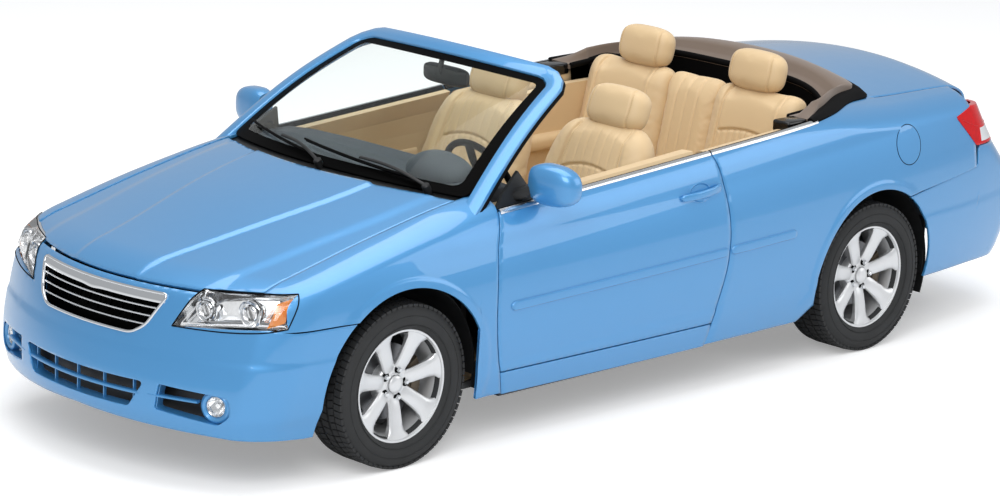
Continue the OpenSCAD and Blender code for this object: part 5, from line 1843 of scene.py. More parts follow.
@dataclass
class Wheels:
    """Alloy wheels, tyres, brakes and wheel-arch liners.

    Args:
        rim: Radius of the rim's outer edge.
        tyre: Radius of the tyre.
        width: Width of the tyre.
        spokes: Number of spokes.
        nuts: Number of wheel nuts.
    """

    rim: float = 222.0
    tyre: float = 322.0
    width: float = 215.0
    spokes: int = 7
    nuts: int = 5
    track: float = 765.0
    front_axle: float = -1480.0
    rear_axle: float = 1225.0
    hub: float = 322.0

    def build(self) -> None:
        """Builds the four wheels and what is behind them."""
        for end in End:
            for side in Side:
                y = self.front_axle if end is End.FRONT else self.rear_axle
                x, y, hub = self.centre(end, side)
                place = axle_place(abs(x), y, hub, side.value)
                name = f"{end.name.lower()}_{side.word}"
                self.wheel(place, f"wheel_{name}")
                self.tyre_piece(place, f"tyre_{name}", f"wheel_{name}")
                self.brake(place, f"knuckle_{side.word}" if end is End.FRONT else "body", end)
                self.liner(end, side)

    @staticmethod
    def centre(end: End, side: Side) -> tuple:
        """Middle of a tyre in millimetres."""
        low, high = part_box(f"tyre_{end.name.lower()}_{side.word}")
        return tuple(float(a + b) * 500 for a, b in zip(low, high))

    def wheel(self, place: Matrix, node: str) -> None:
        """Builds one alloy wheel with its spokes, nuts and cap."""
        body = node
        r = self.rim
        barrel = [(r - 16, -96), (r, -96), (r, -84), (r - 10, -80), (r - 22, -40), (r - 22, 40),
                  (r - 8, 74),
                  (r - 2, 78), (r, 84), (r - 3, 88), (r - 10, 87), (r - 13, 80), (r - 17, 60), (r - 28, 38),
                  (r - 28, -40), (r - 20, -80)]
        rim = spun(f"{node}_barrel", barrel + [barrel[0]], place, ALLOY, body, "alloy", 128)
        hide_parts(node)
        one = self.spoke()
        Repeat.run(f"{node}_spokes", Repeat.around(), [(0, 0, 0)], one, ALLOY, body, "alloy",
                   {"Count": self.spokes, "Radius": 0.0, "Height": 0.0, "Start": 0.0}, place, 34)
        hub = [(0.1, 44), (35, 44), (37, 50), (40, 51), (44, 46), (66, 45), (76, 40), (82, 30), (82, -10),
               (30, -40),
               (0.1, -40)]
        spun(f"{node}_hub", hub, place, ALLOY, body, "alloy", 96)
        spun(f"{node}_cap", [(0, 65), (18, 64.5), (29, 62), (34, 57), (34, 40), (0, 40)], place, ALLOY,
             body,
             "alloy", 64)
        t = np.arange(6) / 6 * 2 * math.pi
        # Black discs around the nuts are painted shade standing in for the nut pockets; the hub has no recess
        pocket_shade_disc = [(*(18 * np.array([math.cos(a), math.sin(a)])),
                   45.4) for a in np.arange(24) / 24 * math.tau]
        pocket_shade_disc += [(*(18 * np.array([math.cos(a), math.sin(a)])),
                    47.2) for a in np.arange(24) / 24 * math.tau]
        faces = [tuple(range(24))[::-1], tuple(range(24, 48))] + [(i, (i + 1) % 24, 24 + (i + 1) % 24,
                                                                   24 + i)
                                                                  for i in range(24)]
        ring = {"Count": self.nuts, "Radius": 0.0565, "Height": 0.0, "Start": 0.3}
        Repeat.run(f"{node}_pockets", Repeat.around(), [(0, 0, 0)], (pocket_shade_disc, faces), SEAL, body, "alloy",
                   ring, place)
        nut = [(r0 * math.cos(a), r0 * math.sin(a), z) for r0,
               z in ((10.5, 46), (10.5, 56), (8, 60), (4, 61))
               for a in t]
        nf = [(k * 6 + i, k * 6 + (i + 1) % 6, (k + 1) * 6 + (i + 1) % 6, (k + 1) * 6 + i)
              for k in range(3) for i in range(6)] + [tuple(range(18, 24))]
        Repeat.run(f"{node}_nuts", Repeat.around(), [(0, 0, 0)], (nut, nf), CHROME, body, "alloy", ring,
                   place)
        valve = [(r - 34, 0, 40), (r - 34, 0, 70)]
        swept(f"{node}_valve", np.array([(np.array(place @ Vector((a, b + 30, c)))) for a, b, c in valve]),
              np.array([[0, 0, 1.0], [0, 0, 1.0]]), oval(3, 3, 8), SEAL, body, "alloy")

    def spoke(self) -> tuple:
        """Points and faces of one tapered spoke along X."""
        stations = [(50, 27, 43, 14), (64, 28, 50, 14), (90, 29, 58, 14), (125, 31, 64, 14),
                    (160, 34, 70, 18),
                    (182, 38, 75, 24), (198, 46, 80, 30), (212, 60, 82, 34)]
        pts, m = [], 12
        for x, half, top, deep in stations:
            section = [(-half, top - 9), (-half * 0.86, top - 3), (-half * 0.55, top), (0, top + 0.5),
                       (half * 0.55, top), (half * 0.86, top - 3), (half, top - 9), (half * 0.9,
                                                                                     top - deep - 8),
                       (half * 0.5, top - deep - 22), (0, top - deep - 26), (-half * 0.5, top - deep - 22),
                       (-half * 0.9, top - deep - 8)]
            pts += [(math.sqrt(max(x * x - min(abs(y), x - 1) ** 2, 1)) if x > 190 else x, y, z)
                    for y, z in section]
        n = len(stations)
        faces = grid_faces(n, m, False, True) + [tuple(range(m))[::-1], tuple(range((n - 1) * m, n * m))]
        return pts, [tuple(reversed(f)) for f in faces]

    def tyre_piece(self, place: Matrix, node: str, body: str) -> None:
        """Builds one tyre with its tread blocks."""
        r, w = self.tyre, self.width / 2
        bead = self.rim - 2
        side = [(bead - 8, 80), (bead + 2, 88), (bead + 10, w - 9), (bead + 26, w - 1), (bead + 48, w),
                (r - 34, w - 2.5), (r - 20, w - 9), (r - 13, w - 14), (r - 9, w - 22)]
        crown = [(r - 8.2, w - 30), (r - 8, w - 60), (r - 8, 0)]
        half = side + crown
        profile = half + [(a, -b) for a, b in half[-2::-1]] + [(bead - 18, -70), (bead - 18, 70), half[0]]
        tyre = spun(node + "_carcass", profile, place, RUBBER, body, "tyre", 160, 50)
        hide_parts(node)
        ribs = [(w - 27, 32, 72, 2.0), (w - 63, 30, 66, -3.0), (0, 34, 60, 3.0), (63 - w, 30, 66, -3.0),
                (27 - w, 32, 72, 2.0)]
        for k, (z, wide, count, skew) in enumerate(ribs):
            pitch = math.tau * r / count
            low = r - 12
            tall = 8.4 if abs(z) > w - 40 else 8
            pts, faces = brick(tall + 4, pitch * 0.82, wide, (low + (tall + 4) / 2 - r, 0, z))
            pts = [(x + (-3.2 if x > -2 and abs(pz) > w - 16 else 0), y + skew * (1 if pz > z else -1), pz)
                   for x, y, pz in pts]
            Repeat.run(f"{node}_tread", Repeat.around(), [(0, 0, 0)], (pts, faces), RUBBER, body, "tyre",
                       {"Count": count, "Radius": r * MM, "Height": 0.0, "Start": 0.02 * k}, place, 30)
        for sign in (1, -1):
            pts, faces = brick(20, 13, 3, (r - 22 - r, 0, sign * (w - 8.5)))
            pts = [(x, y, z - sign * 6 if x > -20 else z) for x, y, z in pts]
            Repeat.run(f"{node}_shoulder", Repeat.around(), [(0, 0, 0)], (pts, faces), RUBBER, body, "tyre",
                       {"Count": 72, "Radius": r * MM, "Height": 0.0, "Start": 0.0}, place, 30)
        for radius in (bead + 18, r - 46):
            z = w - 3.2 if radius < 270 else w - 2.2
            spun(node + "_ring", [(radius - 1.2, z), (radius, z + 3), (radius + 1.2, z)], place, RUBBER,
                 body,
                 "tyre", 128)

    def brake(self, place: Matrix, body: str, end: End) -> None:
        """Builds a brake disc and its caliper."""
        r = 148 if end is End.FRONT else 140
        disc = [(60, -14), (r, -14), (r, -9), (r - 10, -9), (r - 10, -5), (r, -5), (r, 0), (70, 0),
                (68, 24), (30, 24),
                (30, -14)]
        spun("brake_disc", disc + [disc[0]], place, IRON, body, "steel", 96)
        a = np.linspace(-0.55, 0.55, 15) + (math.pi * 0.5 if end is End.FRONT else math.pi * 0.5)
        path = np.stack([126 * np.cos(a), 126 * np.sin(a), np.zeros(15)], -1)
        m = np.array(place)
        world = path @ m[:3, :3].T + m[:3, 3]
        ups = (path / 126) @ m[:3, :3].T
        swept("brake_caliper", world, ups, [(p, q) for p, q in oval(30, 32, 16, 5)], CALIPER, body, "steel")
        path2 = np.stack([118 * np.cos(a[3:12]), 118 * np.sin(a[3:12]), np.full(9, 31.0)], -1)
        swept("caliper_bridge", path2 @ m[:3, :3].T + m[:3, 3], ups[3:12], oval(5, 16, 10, 4), CALIPER,
              body, "steel")

    def liner(self, end: End, side: Side) -> None:
        """Builds a moulded liner inside a wheel arch."""
        y = self.front_axle if end is End.FRONT else self.rear_axle
        a = np.radians(np.linspace(-4, 184 if end is End.FRONT else 200, 41))
        r = SHAPE.arch_radius + 6
        # The front wall stands back from the tyre at full lock
        inner = 445.0 if end is End.FRONT else 500.0
        x = np.linspace(inner, 800, 7)
        xx, aa = np.meshgrid(x, a, indexing="ij")
        pts = np.stack([xx * side.value, y - r * np.cos(aa), self.hub + r * np.sin(aa)], -1)
        low, high = pts, pts + np.stack([0 * xx, -4 * np.cos(aa), 4 * np.sin(aa)], -1)
        verts, faces = slab(low, high)
        outward(new_piece("arch_liner", verts, faces, BLACK_PLASTIC, "body", "black_plastic"))
        rr = np.linspace(60, r, 6)
        cc, aa = np.meshgrid(rr, a, indexing="ij")
        wall = np.stack([np.full(cc.shape, inner * side.value), y - cc * np.cos(aa),
                         self.hub + cc * np.sin(aa)], -1)
        if end is End.REAR:
            box_piece("bumper_filler", (min(side.value * 500, side.value * 790), y + r - 4, 225),
                      (max(side.value * 500, side.value * 790), y + r + 2, 520), BLACK_PLASTIC, "body",
                      "black_plastic")
        verts, faces = slab(wall, wall + [4.0 * side.value, 0, 0])
        outward(new_piece("arch_wall", verts, faces, BLACK_PLASTIC, "body", "black_plastic"))


# ---------------------------------------------------------------- cabin


@dataclass
class Pad:
    """A stuffed leather pad, crowned by a short cloth simulation.

    Args:
        name: Name of the piece.
        centre: Middle of the pad.
        size: Width, height and thickness.
        up: Direction of its height.
        out: Direction its face looks.
        body: Body that carries it.
        node: CAD nodes it stands for.
        bolster: How far the sides stand above the middle.
        narrow: Share of the width lost at the top.
        power: Squareness of the outline.
        grooves: Depth in millimetres of a seam or pleat at local points (across, up).
        cap: Most that a point may move in the simulation.
        fill: Not used.
    """

    name: str
    centre: tuple
    size: tuple
    up: tuple
    out: tuple
    body: str = "body"
    node: tuple = ()
    bolster: float = 0.0
    narrow: float = 0.0
    power: float = 4.0
    grooves: Callable | None = None
    cap: float = 24.0
    fill: float = 0.7
    turn: float = 2.6
    voxel: float = 8.0
    tree: object = field(default=None, init=False)

    def axes(self) -> tuple[Grid, Grid, Grid]:
        """Across, up and outward unit vectors."""
        out = np.array(self.out, float) / np.linalg.norm(self.out)
        up = np.array(self.up, float)
        up = up - out * (up @ out)
        up /= np.linalg.norm(up)
        return np.cross(up, out), up, out

    def mesh(self) -> tuple[Grid, list]:
        """Closed starting form, a little smaller than the finished pad."""
        across, up, out = self.axes()
        w, h, t = (0.5 * (v - 14) for v in self.size)
        theta = np.arange(72) / 72 * math.tau
        r = np.sin(np.linspace(0.02, 1, 22) * math.pi / 2)
        rr, tt = np.meshgrid(r, theta, indexing="ij")
        e = 2 / self.power
        cx = np.sign(np.cos(tt)) * np.abs(np.cos(tt)) ** e * rr
        cy = np.sign(np.sin(tt)) * np.abs(np.sin(tt)) ** e * rr
        width = w * (1 - self.narrow * smooth((cy + 0.1) / 1.1))
        dome = (1 - rr ** (2 * self.turn)) ** (1 / self.turn)
        side = self.bolster * smooth((np.abs(cx) - 0.5) / 0.24) * dome
        face = dome * t + side
        sheets = [across * (cx * width)[..., None] + up * (cy * h)[..., None] + out * f[..., None]
                  for f in (face, -dome * t)]
        n, m = cx.shape
        faces = grid_faces(n, m, False, True) + [tuple(range(m))[::-1]]
        back = [tuple(n * m + i for i in reversed(f)) for f in faces]
        return np.concatenate([s.reshape(-1, 3) for s in sheets]) + np.array(self.centre), faces + back

    def build(self) -> bpy.types.Object:
        """Builds the pad.

        Returns:
            The finished piece.
        """
        verts, faces = self.mesh()
        obj = outward(new_piece(self.name, verts, faces, LEATHER, self.body, "leather", 80), 80)
        weld = obj.modifiers.new("weld", "WELD")
        weld.merge_threshold = 0.8 * MM
        grid = obj.modifiers.new("remesh", "REMESH")
        grid.mode, grid.voxel_size = "VOXEL", self.voxel * MM
        grid.use_smooth_shade = True
        bake(obj, 180)
        self.swell(obj)
        even = obj.modifiers.new("even", "SMOOTH")
        even.factor, even.iterations = 0.5, 6
        fine = obj.modifiers.new("fine", "SUBSURF")
        fine.levels = fine.render_levels = 1 if self.grooves else 0
        bake(obj, 180)
        if self.grooves:
            self.sew(obj)
        if self.node:
            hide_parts(*self.node)
        self.tree = BVHTree.FromObject(obj, bpy.context.evaluated_depsgraph_get())
        return obj

    def swell(self, obj: bpy.types.Object) -> None:
        """Blows the pad up a little as cloth, with no point moving further than the cap."""
        scene = bpy.context.scene
        before = np.array([v.co for v in obj.data.vertices])
        cloth = obj.modifiers.new("cloth", "CLOTH")
        cloth.settings.quality = 3
        cloth.settings.use_pressure = True
        cloth.settings.uniform_pressure_force = 4.0
        cloth.settings.effector_weights.gravity = 0.0
        cloth.settings.tension_stiffness = cloth.settings.compression_stiffness = 20
        cloth.collision_settings.use_collision = False
        cloth.point_cache.frame_start, cloth.point_cache.frame_end = 1, 14
        for frame_number in range(1, 15):
            scene.frame_set(frame_number)
        deps = bpy.context.evaluated_depsgraph_get()
        moved = obj.evaluated_get(deps).to_mesh()
        after = np.array([v.co for v in moved.vertices])
        obj.modifiers.clear()
        scene.frame_set(1)
        if len(after) == len(before):
            shift = after - before
            far = np.linalg.norm(shift, axis=1, keepdims=True)
            limit = self.cap * MM * 0.5
            shift *= np.minimum(1, limit / np.maximum(far, 1e-9))
            obj.data.vertices.foreach_set("co", (before + shift).ravel())
            obj.data.update()

    def sew(self, obj: bpy.types.Object) -> None:
        """Presses the seams and pleats into the pad's face."""
        across, up, out = self.axes()
        mesh = obj.data
        co = np.array([v.co for v in mesh.vertices])
        normal = np.array([v.normal for v in mesh.vertices])
        local = co / MM - np.array(self.centre)
        depth = self.grooves(local @ across, local @ up) * smooth((normal @ out - 0.05) / 0.3)
        co -= normal * depth[:, None] * MM
        mesh.vertices.foreach_set("co", co.ravel())
        mesh.update()
        shade(obj, 180)

    def stitch(self, points: Sequence, gap: float = 8.0) -> None:
        """Lays a row of stitches over the face along local points (across, up)."""
        across, up, out = self.axes()
        path = []
        for a, b in points:
            start = Vector(((np.array(self.centre) + across * a + up * b + out * 300) * MM).tolist())
            hit = self.tree.ray_cast(start, Vector((-out).tolist()))
            if hit[0] is not None:
                path.append(np.array(hit[0]) / MM + out * 0.3)
        if len(path) > 2:
            Repeat.run(f"{self.name}_stitches", Repeat.along(), path, brick(4.6, 1.3, 1.3), THREAD,
                       self.body,
                       "leather", {"Spacing": gap * MM, "Align": 1.0})


def groove(distance: Grid, width: float = 6.0, depth: float = 5.0) -> Grid:
    """Depth of a sewn channel at a distance from its line."""
    return depth * np.exp(-(distance / width) ** 2)


@dataclass
class Seats:
    """Front seats and the rear bench, all in stitched leather."""

    front_x: float = 350.0

    def build(self) -> None:
        """Builds all the seats."""
        for side in Side:
            self.front(side)
        self.rear()

    @staticmethod
    def back_seams(a: Grid, b: Grid) -> Grid:
        """Seams of a front backrest: two side seams, one curved cross seam and pleats."""
        edge = 166 - 0.09 * np.clip(b, 0, None)
        line = 104 - 0.0014 * a * a
        inside = smooth((edge - 4 - np.abs(a)) / 6)
        below = smooth((line - b) / 8)
        depth = groove(np.abs(a) - edge, 6, 9) * smooth((300 - b) / 30)
        depth += groove(b - line, 6, 9) * inside
        pitch = 34.0
        cell = np.abs((a + pitch / 2) % pitch - pitch / 2)
        wide = 46.0
        cell2 = np.abs((a + wide / 2) % wide - wide / 2)
        depth += groove(cell, 6, 7) * inside * below
        depth += groove(cell2, 5, 4) * inside * (1 - below) * smooth((290 - b) / 60)
        return depth

    @staticmethod
    def seat_seams(a: Grid, b: Grid) -> Grid:
        """Seams of a seat cushion."""
        inside = smooth((150 - np.abs(a)) / 6)
        cell = np.abs((a + 17) % 34 - 17)
        ends = smooth((170 - np.abs(b)) / 10)
        return groove(np.abs(a) - 154, 5, 6) + groove(np.abs(b) - 172, 5, 5) * inside + groove(cell, 5,
                                                                                               4) * inside * ends

    @staticmethod
    def head_seams(a: Grid, b: Grid) -> Grid:
        """Side seams of a headrest."""
        return groove(np.abs(a) - 106 + 0.0016 * b * b, 4, 5.5)

    @staticmethod
    def bench_seams(a: Grid, b: Grid) -> Grid:
        """Seams of an outer rear backrest."""
        inside = smooth((150 - np.abs(a)) / 6)
        line = 120 - 0.001 * a * a
        cell = np.abs((a + 17) % 34 - 17)
        return groove(np.abs(a) - 154, 6, 10) + groove(b - line, 6, 10) * inside + groove(cell, 6,
                                                                                          8) * inside * smooth(
            (line - b) / 8)

    @staticmethod
    def middle_seams(a: Grid, b: Grid) -> Grid:
        """Three upright seams of the bench's middle."""
        return groove(np.abs(np.abs(a) - 60), 6, 9) + groove(a, 5, 5)

    def front(self, side: Side) -> None:
        """Builds one front seat."""
        x = self.front_x * side.value
        word = side.word
        tilt = (0, 0.342, 0.94)
        face = (0, -0.94, 0.342)
        back = Pad(f"seat_back_{word}", (x + 14, -8, 770), (600, 640, 146), tilt, face,
                   node=(f"front_seat_{word}",),
                   bolster=28, narrow=0.14, power=4.4, grooves=self.back_seams)
        back.build()
        for s in (-1, 1):
            back.stitch([(s * (160 - 0.09 * max(b, 0)), b) for b in range(-260, 282, 12)])
        back.stitch([(a, 111 - 0.0014 * a * a) for a in range(-150, 151, 9)])
        cushion = Pad(f"seat_cushion_{word}", (x, -455, 492), (500, 500, 138), (0, -1, 0.1), (0, 0.1, 1),
                      bolster=22, power=4.5, grooves=self.seat_seams)
        cushion.build()
        head = Pad(f"headrest_{word}", (x + 16, 116, 1114), (318, 196, 146), tilt, face, power=3.4,
                   turn=2.2,
                   grooves=self.head_seams, cap=20)
        head.build()
        for s in (-1, 1):
            head.stitch([(s * (112 - 0.0016 * b * b), b) for b in range(-62, 63, 6)], 7)
            post = np.array([(x + s * 55, 70, 1000), (x + s * 55, 90, 1060)])
            swept("headrest_post", post, np.array([[1.0, 0, 0]] * 2), oval(6, 6, 12), CHROME, "body",
                  "steel")
            rail = (x + s * 165, -455, 300)
            box_piece("seat_rail", (rail[0] - 18, -690, 211), (rail[0] + 18, -230, 250), COATED, "body",
                      "structure")
        box_piece("seat_base", (x - 190, -650, 250), (x + 190, -260, 430), BLACK_PLASTIC, "body",
                  "black_plastic", 14)

    def rear(self) -> None:
        """Builds the rear bench with two headrests."""
        tilt, face = (0, 0.23, 0.973), (0, -0.973, 0.23)
        for s in (1, -1):
            nodes = ("rear_seat",) if s == 1 else ()
            word = "left" if s == 1 else "right"
            back = Pad(f"bench_back_{word}", (s * 376, 930, 784), (512, 644, 142), tilt, face, node=nodes,
                       bolster=20,
                       narrow=0.03, power=9, grooves=self.bench_seams)
            back.build()
            back.stitch([(a, 126 - 0.001 * a * a) for a in range(-142, 143, 9)])
            Pad(f"bench_cushion_{word}", (s * 376, 560, 492), (384, 480, 138), (0, -1, 0.06), (0, 0.06, 1),
                bolster=12,
                power=4.6, grooves=self.seat_seams).build()
            head = Pad(f"bench_headrest_{word}", (s * 326, 1004, 1156), (304, 190, 136), tilt, face,
                       power=3.4,
                       turn=2.2, grooves=self.head_seams, cap=20)
            head.build()
            for k in (-1, 1):
                head.stitch([(k * (112 - 0.0016 * b * b), b) for b in range(-62, 63, 6)], 7)
                post = np.array([(s * 326 + k * 55, 975, 1040), (s * 326 + k * 55, 990, 1100)])
                swept("headrest_post", post, np.array([[1.0, 0, 0]] * 2), oval(6, 6, 12), CHROME, "body",
                      "steel")
        Pad("bench_back_middle", (0, 936, 780), (330, 644, 134), tilt, face, power=9,
            grooves=self.middle_seams).build()
        Pad("bench_cushion_middle", (0, 560, 490), (364, 470, 130), (0, -1, 0.06), (0, 0.06, 1), power=6,
            grooves=self.middle_seams).build()


@dataclass
class Cabin:
    """Dashboard, steering wheel, trims, boot cover and the dark parts below."""

    def build(self) -> None:
        """Builds what surrounds the seats."""
        self.dash()
        self.steering()
        self.mirror()
        self.console()
        self.trims()
        self.cover()
        self.dress()

    def dash(self) -> None:
        """Builds the dashboard with its hood over the instruments."""
        profile = rounded([(-1070, 660), (-1072, 926), (-1010, 962), (-900, 990), (-768, 990), (-728, 940),
                           (-738, 800),
                           (-820, 650)], [10, 20, 60, 60, 50, 30, 60, 20])
        xs = np.array([-648, -640, -500, -250, 0, 250, 500, 640, 648], float)
        pts = [(x, y, z - 22 * (x / 650) ** 4 * (z > 850) - (6 if abs(x) > 645 else 0)) for x in xs for y,
               z in profile]
        n, m = len(xs), len(profile)
        faces = grid_faces(n, m, False, True) + [tuple(range(m))[::-1], tuple(range((n - 1) * m, n * m))]
        body = outward(new_piece("dashboard_body", pts, faces, DASH, "body", "black_plastic"))
        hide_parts("dashboard")
        u, v = np.meshgrid(np.linspace(0, math.pi, 33), np.linspace(0.02, 0.5 * math.pi, 15), indexing="ij")
        e = 0.8
        hood = np.stack([370 - 176 * np.cos(u) * np.abs(np.sin(v)) ** e, -855 + 0 * u - 130 * np.cos(v),
                         965 + 96 * np.sin(u) ** 0.8 * np.abs(np.sin(v)) ** e], -1)
        inner = hood * [1, 1, 1] - [0, 0, 7] - (hood - [370, -900, 965]) * [0.05, 0, 0]
        verts, faces = slab(hood, inner)
        outward(new_piece("binnacle_hood", verts, faces, DASH, "body", "black_plastic"))
        place = Matrix.Translation((370, -850, 1005)) @ Matrix.Rotation(math.radians(-72), 4, "X")
        for k in (-1, 1):
            dial = place @ Matrix.Translation((k * 62, 0, 0))
            spun("dial_ring", [(46, -6), (48, 2), (51, 2), (52, -6)], dial, CHROME, "body", "steel")
            spun("dial_face", [(0, -4), (47, -4), (47, -8), (0, -8)], dial, GLOSS_BLACK, "body",
                 "black_plastic")
        for x in (-560, -70, 70, 575):
            box_piece("vent_frame", (x - 48, -740, 850), (x + 48, -726, 912), GLOSS_BLACK, "body",
                      "black_plastic", 5)
            row = [(x, -725, z) for z in (856, 906)]
            Repeat.run("vent_slats", Repeat.along(), row, brick(82, 8, 2.4), DASH, "body", "black_plastic",
                       {"Spacing": 0.0099, "Align": 0.0})
        box_piece("radio", (-85, -748, 740), (85, -733, 835), GLOSS_BLACK, "body", "black_plastic", 4)
        box_piece("glove_lid", (-600, -752, 720), (-160, -735, 835), DASH, "body", "black_plastic", 8)

    def steering(self) -> None:
        """Builds the steering wheel and its column."""
        low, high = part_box("steering_wheel")
        centre = [(a + b) * 500 for a, b in zip(low, high)]
        place = Matrix.Translation(centre) @ Matrix.Rotation(math.radians(-65), 4, "X")
        t = np.arange(16) / 16 * math.tau
        ring = [(182 + 14 * math.cos(a), 14 * math.sin(a)) for a in t]
        rim = spun("steering_rim", ring + [ring[0]], place, SEAL, "steering_wheel", "black_plastic", 128)
        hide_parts("steering_wheel")
        spun("steering_pad", [(0, 22), (40, 20), (58, 12), (64, 0), (60, -16), (0, -24)], place,
             GLOSS_BLACK,
             "steering_wheel", "black_plastic")
        m = np.array(place)
        for a in (0, 180, 270):
            d = np.array([math.cos(math.radians(a)), math.sin(math.radians(a)), 0])
            path = np.array([d * 46 + [0, 0, 2], d * 110 + [0, 0, -4], d * 178])
            swept("steering_spoke", path @ m[:3, :3].T + m[:3, 3], np.array([m[:3, 2]] * 3),
                  oval(22, 8, 16, 3),
                  SEAL, "steering_wheel", "black_plastic")
        axis = m[:3, 2]
        column = np.array([np.array(centre) - axis * 40, np.array(centre) - axis * 150])
        swept("column_shroud", column, np.array([[1.0, 0, 0]] * 2), oval(42, 36, 20, 3), DASH, "body",
              "black_plastic")
        for s in (-1, 1):
            start = np.array(centre) - axis * 55
            stalk = np.array([start, start + [s * 60, 6, 10], start + [s * 140, 10, 22]])
            swept("column_stalk", stalk, np.array([[0, 0, 1.0]] * 3), oval(7, 5, 10), BLACK_PLASTIC, "body",
                  "black_plastic")

    def mirror(self) -> None:
        """Builds the interior mirror on its stalk."""
        profile = np.array(oval(128, 39, 48, 4.2))
        rings = []
        for y, k in ((-512, 0.93), (-510, 0.97), (-514, 1.0), (-530, 0.98), (-546, 0.8), (-552, 0.4)):
            rings.append([(a * k, y + 0.0004 * (a * k) ** 2, 1262 + b * k) for a, b in profile])
        pts = np.array(rings)
        faces = grid_faces(6, 48, False, True) + [tuple(range(48))[::-1], tuple(range(240, 288))]
        shell = outward(new_piece("mirror_inside", pts.reshape(-1, 3), faces, BLACK_PLASTIC, "body",
                                  "black_plastic"))
        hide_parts("interior_mirror")
        glass = [(a * 0.9, -509.5 + 0.0004 * a * a, 1262 + b * 0.88) for a, b in profile]
        new_piece("mirror_inside_glass", glass, [tuple(range(48))], MIRROR, "body", "glass")
        stalk = np.array([(0, -545, 1270), (0, -548, 1300), (0, -535, 1345)])
        swept("mirror_stalk", stalk, np.array([[1.0, 0, 0]] * 3), oval(12, 10, 12), BLACK_PLASTIC, "body",
              "black_plastic")

    def console(self) -> None:
        """Builds the centre console with its lever and arm rest."""
        box = box_piece("console_body", (-92, -840, 421), (92, -150, 560), DASH, "body", "black_plastic",
                        22)
        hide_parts("centre_console")
        box_piece("console_front", (-92, -850, 540), (92, -690, 760), DASH, "body", "black_plastic", 24)
        box_piece("arm_rest", (-80, -380, 545), (80, -150, 628), LEATHER, "body", "leather", 24)
        spun("lever_boot", [(40, 0), (36, 8), (22, 30), (12, 60), (8, 80)],
             Matrix.Translation((0, -600, 552)), SEAL,
             "body", "black_plastic")
        spun("lever_knob", [(0, 118), (14, 114), (22, 100), (20, 84), (10, 74), (8, 60), (0, 60)],
             Matrix.Translation((0, -600, 552)), GLOSS_BLACK, "body", "black_plastic")

    def trims(self) -> None:
        """Builds the padded rolls of the doors and rear sides, and the carpet."""
        for side in Side:
            s = side.value
            y = np.linspace(-930, 215, 41)
            z = SHAPE.belt(y) - 112
            path = SHAPE.side(y, z, 52) * [s, 1, 1]
            swept(f"door_roll_{side.word}", path, np.array([[0, 0, 1.0]] * 41), oval(26, 34, 20), LEATHER,
                  f"door_{side.word}", "leather")
            node_dress(f"door_trim_{side.word}", LEATHER)
            yy = np.linspace(-620, 60, 21)
            arm = SHAPE.side(yy, np.full(21, 720.0), 88) * [s, 1, 1]
            swept(f"door_armrest_{side.word}", arm, np.array([[0, 0, 1.0]] * 21), oval(30, 26, 20, 3),
                  LEATHER,
                  f"door_{side.word}", "leather")
            y = np.linspace(262, 960, 21)
            path = SHAPE.side(y, SHAPE.belt(y) - 60, 60)
            path[:, 0] = np.minimum(path[:, 0], 720)
            swept("side_roll", path * [s, 1, 1], np.array([[0, 0, 1.0]] * 21), oval(60, 40, 24, 3), LEATHER,
                  "body", "leather")
            box_piece("side_armrest", (s * 600 - 45, 300, 690), (s * 600 + 45, 790, 760), LEATHER, "body",
                      "leather", 26)
            box_piece("floor_carpet", (min(s * 145, s * 640), -1070, 210.5),
                      (max(s * 145, s * 640), 330, 220), CARPET,
                      "body", "leather", 3)
        node_dress("side_trims", LEATHER)
        box_piece("tunnel_carpet", (-146, -850, 214), (146, 800, 424), CARPET, "body", "leather", 12)

    def opening(self) -> tuple[Grid, Grid]:
        """Edge of the opening behind the seats on the left: as cut, and with its corner rounded."""
        shell = SHELL
        y = np.linspace(850, shell.deck_front - 12, 40)
        side = shell.opening_edge(y)
        x = np.linspace(side[-1, 0] - 12, 0, 40)
        top = np.stack([x, shell.deck_front - 0.00012 * x * x + 20, 0 * x], -1)
        top[:, 2] = shell.shape.top(top[:, 0], top[:, 1])
        cut = np.concatenate([side, top])
        k = np.concatenate([[0], np.cumsum(np.linalg.norm(np.diff(cut, axis=0), axis=1))])
        cut = np.stack([np.interp(np.linspace(0, k[-1], 97), k, cut[:, i]) for i in range(3)], -1)
        soft = cut.copy()
        for _ in range(70):
            soft[1:-1] = (soft[:-2] + 2 * soft[1:-1] + soft[2:]) / 4
            soft[-1, 1] = soft[-2, 1]
        return cut, soft

    def cover(self) -> None:
        """Builds the cover over the folded roof, with its black edge and end blocks."""
        cut, soft = self.opening()
        t = np.linspace(0, 1, len(soft))
        start = np.clip(t / 0.12, 0, 1)
        inward = np.gradient(soft[:, :2], axis=0)
        inward = np.stack([inward[:, 1], -inward[:, 0]], -1) / np.linalg.norm(inward, axis=1)[:, None] * -1
        wide = mix(24, 58, start)
        rise = mix(10, 34, np.clip(t / 0.45, 0, 1))
        brown = np.concatenate([soft[:, :2] + inward * wide[:, None], (soft[:, 2] + rise)[:, None]], -1)
        a = np.radians(90 * np.clip((t - 0.12) / 0.88, 0, 1))
        inner = np.stack([650 * np.cos(a) ** 0.42 - 10 * (t < 0.12), 850 + 120 * np.clip(t / 0.12, 0, 1)
                          + 205 * np.sin(a) ** 0.62], -1)
        inner = np.concatenate([inner, (soft[:, 2] + mix(6, 26, start))[:, None]], -1)

        def whole(rows: list) -> Grid:
            """Both halves of the ring from the rows of the left one."""
            grid = np.stack(rows, 1)
            return np.concatenate([grid, (grid * [-1, 1, 1])[-2::-1]])

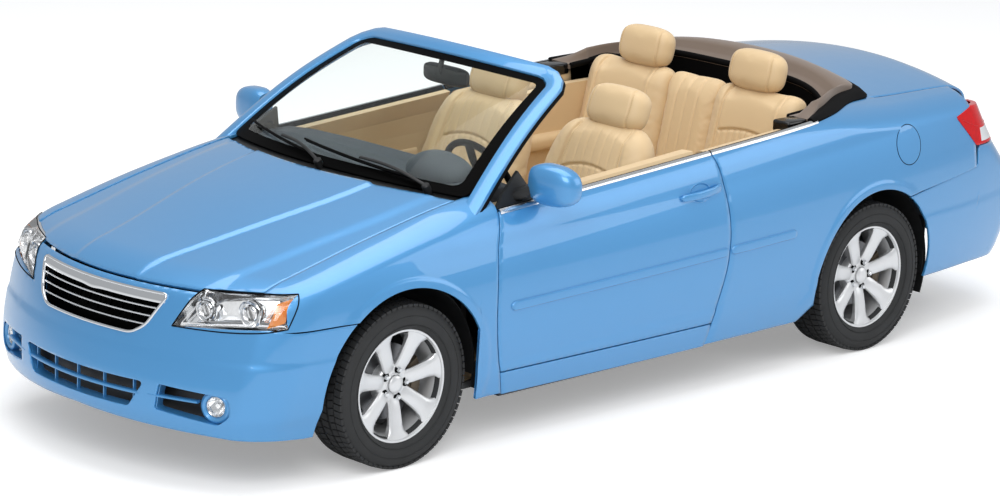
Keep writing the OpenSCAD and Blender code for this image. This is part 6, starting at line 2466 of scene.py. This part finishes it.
        lip = soft + np.concatenate([inward * -8, np.full((len(t), 1), 5.0)], -1)
        under = lip - [0, 0, 12]
        black = whole([under, lip, mix(lip, brown, 0.35) + [0, 0, 9], mix(lip, brown, 0.8) + [0, 0, 6],
                       brown,
                       brown - [0, 0, 8]])
        verts, faces = slab(black, black - np.array([0, 0, 6.0]))
        outward(new_piece("cover_edge", verts, faces, SEAL, "body", "black_plastic", 50), 50)
        swell = 30 * start
        rows = []
        for k in np.linspace(0, 1, 15):
            row = mix(brown, inner, k)
            row[:,
                2] += swell * math.sin(math.pi * min(1.0,
                                                     0.12 + k)) - 22 * smooth((k - 0.62) / 0.08) * start
            rows.append(row)
        top = whole(rows)
        verts, faces = slab(top, top - [0, 0, 22])
        piece = outward(new_piece("roof_cover", verts, faces, COVER, "body", "vinyl", 60), 60)
        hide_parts("boot_cover")
        lip = top[:, -1] - [0, 0, 6]
        swept("cover_lip", lip, np.array([[0, 0, 1.0]] * len(lip)), oval(8, 14, 12), SEAL, "body",
              "black_plastic")
        wall = np.stack([lip, lip + [0, 12, -90], lip + [0, 26, -260]], 1)
        verts, faces = slab(wall, wall + np.array([0, 4.0, 0]))
        outward(new_piece("cover_curtain", verts, faces, SEAL, "body", "black_plastic"))
        near = slice(18, 80)
        flush = np.stack([mix(cut[near], soft[near], k) for k in np.linspace(0, 1.0, 6)], 1)
        for side in Side:
            s = side.value
            hit = SHAPE.hit(np.stack([flush[..., 0], flush[..., 1], np.full(flush.shape[:2], 700.0)], -1),
                            np.broadcast_to(np.array([0, 0, 1.0]), flush.shape))
            verts, faces = slab(hit * [s, 1, 1], (hit - [0, 0, 12]) * [s, 1, 1])
            outward(new_piece("rear_corner", verts, faces, PAINT, "body", "paint"))
            x0, x1 = sorted((s * 655, s * 748))
            box_piece("cover_end", (x0, 735, 990), (x1, 862, 1040), GLOSS_BLACK, "body", "black_plastic",
                      10)

    def dress(self) -> None:
        """Gives the remaining CAD nodes their materials."""
        plan = {COATED: ("underbody", "front_suspension", "rear_axle"), STEEL: ("exhaust",),
                BLACK_PLASTIC: ("fuel_tank",), IRON: ("engine", "knuckle_left",
                                                      "knuckle_right"), PAINT: ("sills",)}
        for finish, names in plan.items():
            for name in names:
                if name in frame["nodes"]:
                    node_dress(name, finish)


def main() -> None:
    """Builds the car in order and reports each sub-assembly."""
    logging.basicConfig(level=logging.INFO, format="%(message)s")
    bpy.context.scene.view_settings.view_transform = "Standard"
    for part in PARTS:
        count = len(bpy.data.objects)
        part.build()
        LOG.info("%s: %d objects", type(part).__name__, len(bpy.data.objects) - count)


PARTS = (Studio(), SHELL, OuterTrim(), FrontFace(), HEADLAMPS, TailLamps(), FuelDoor(), Wheels(), Seats(),
         Cabin())

if __name__ == "__main__":
    main()
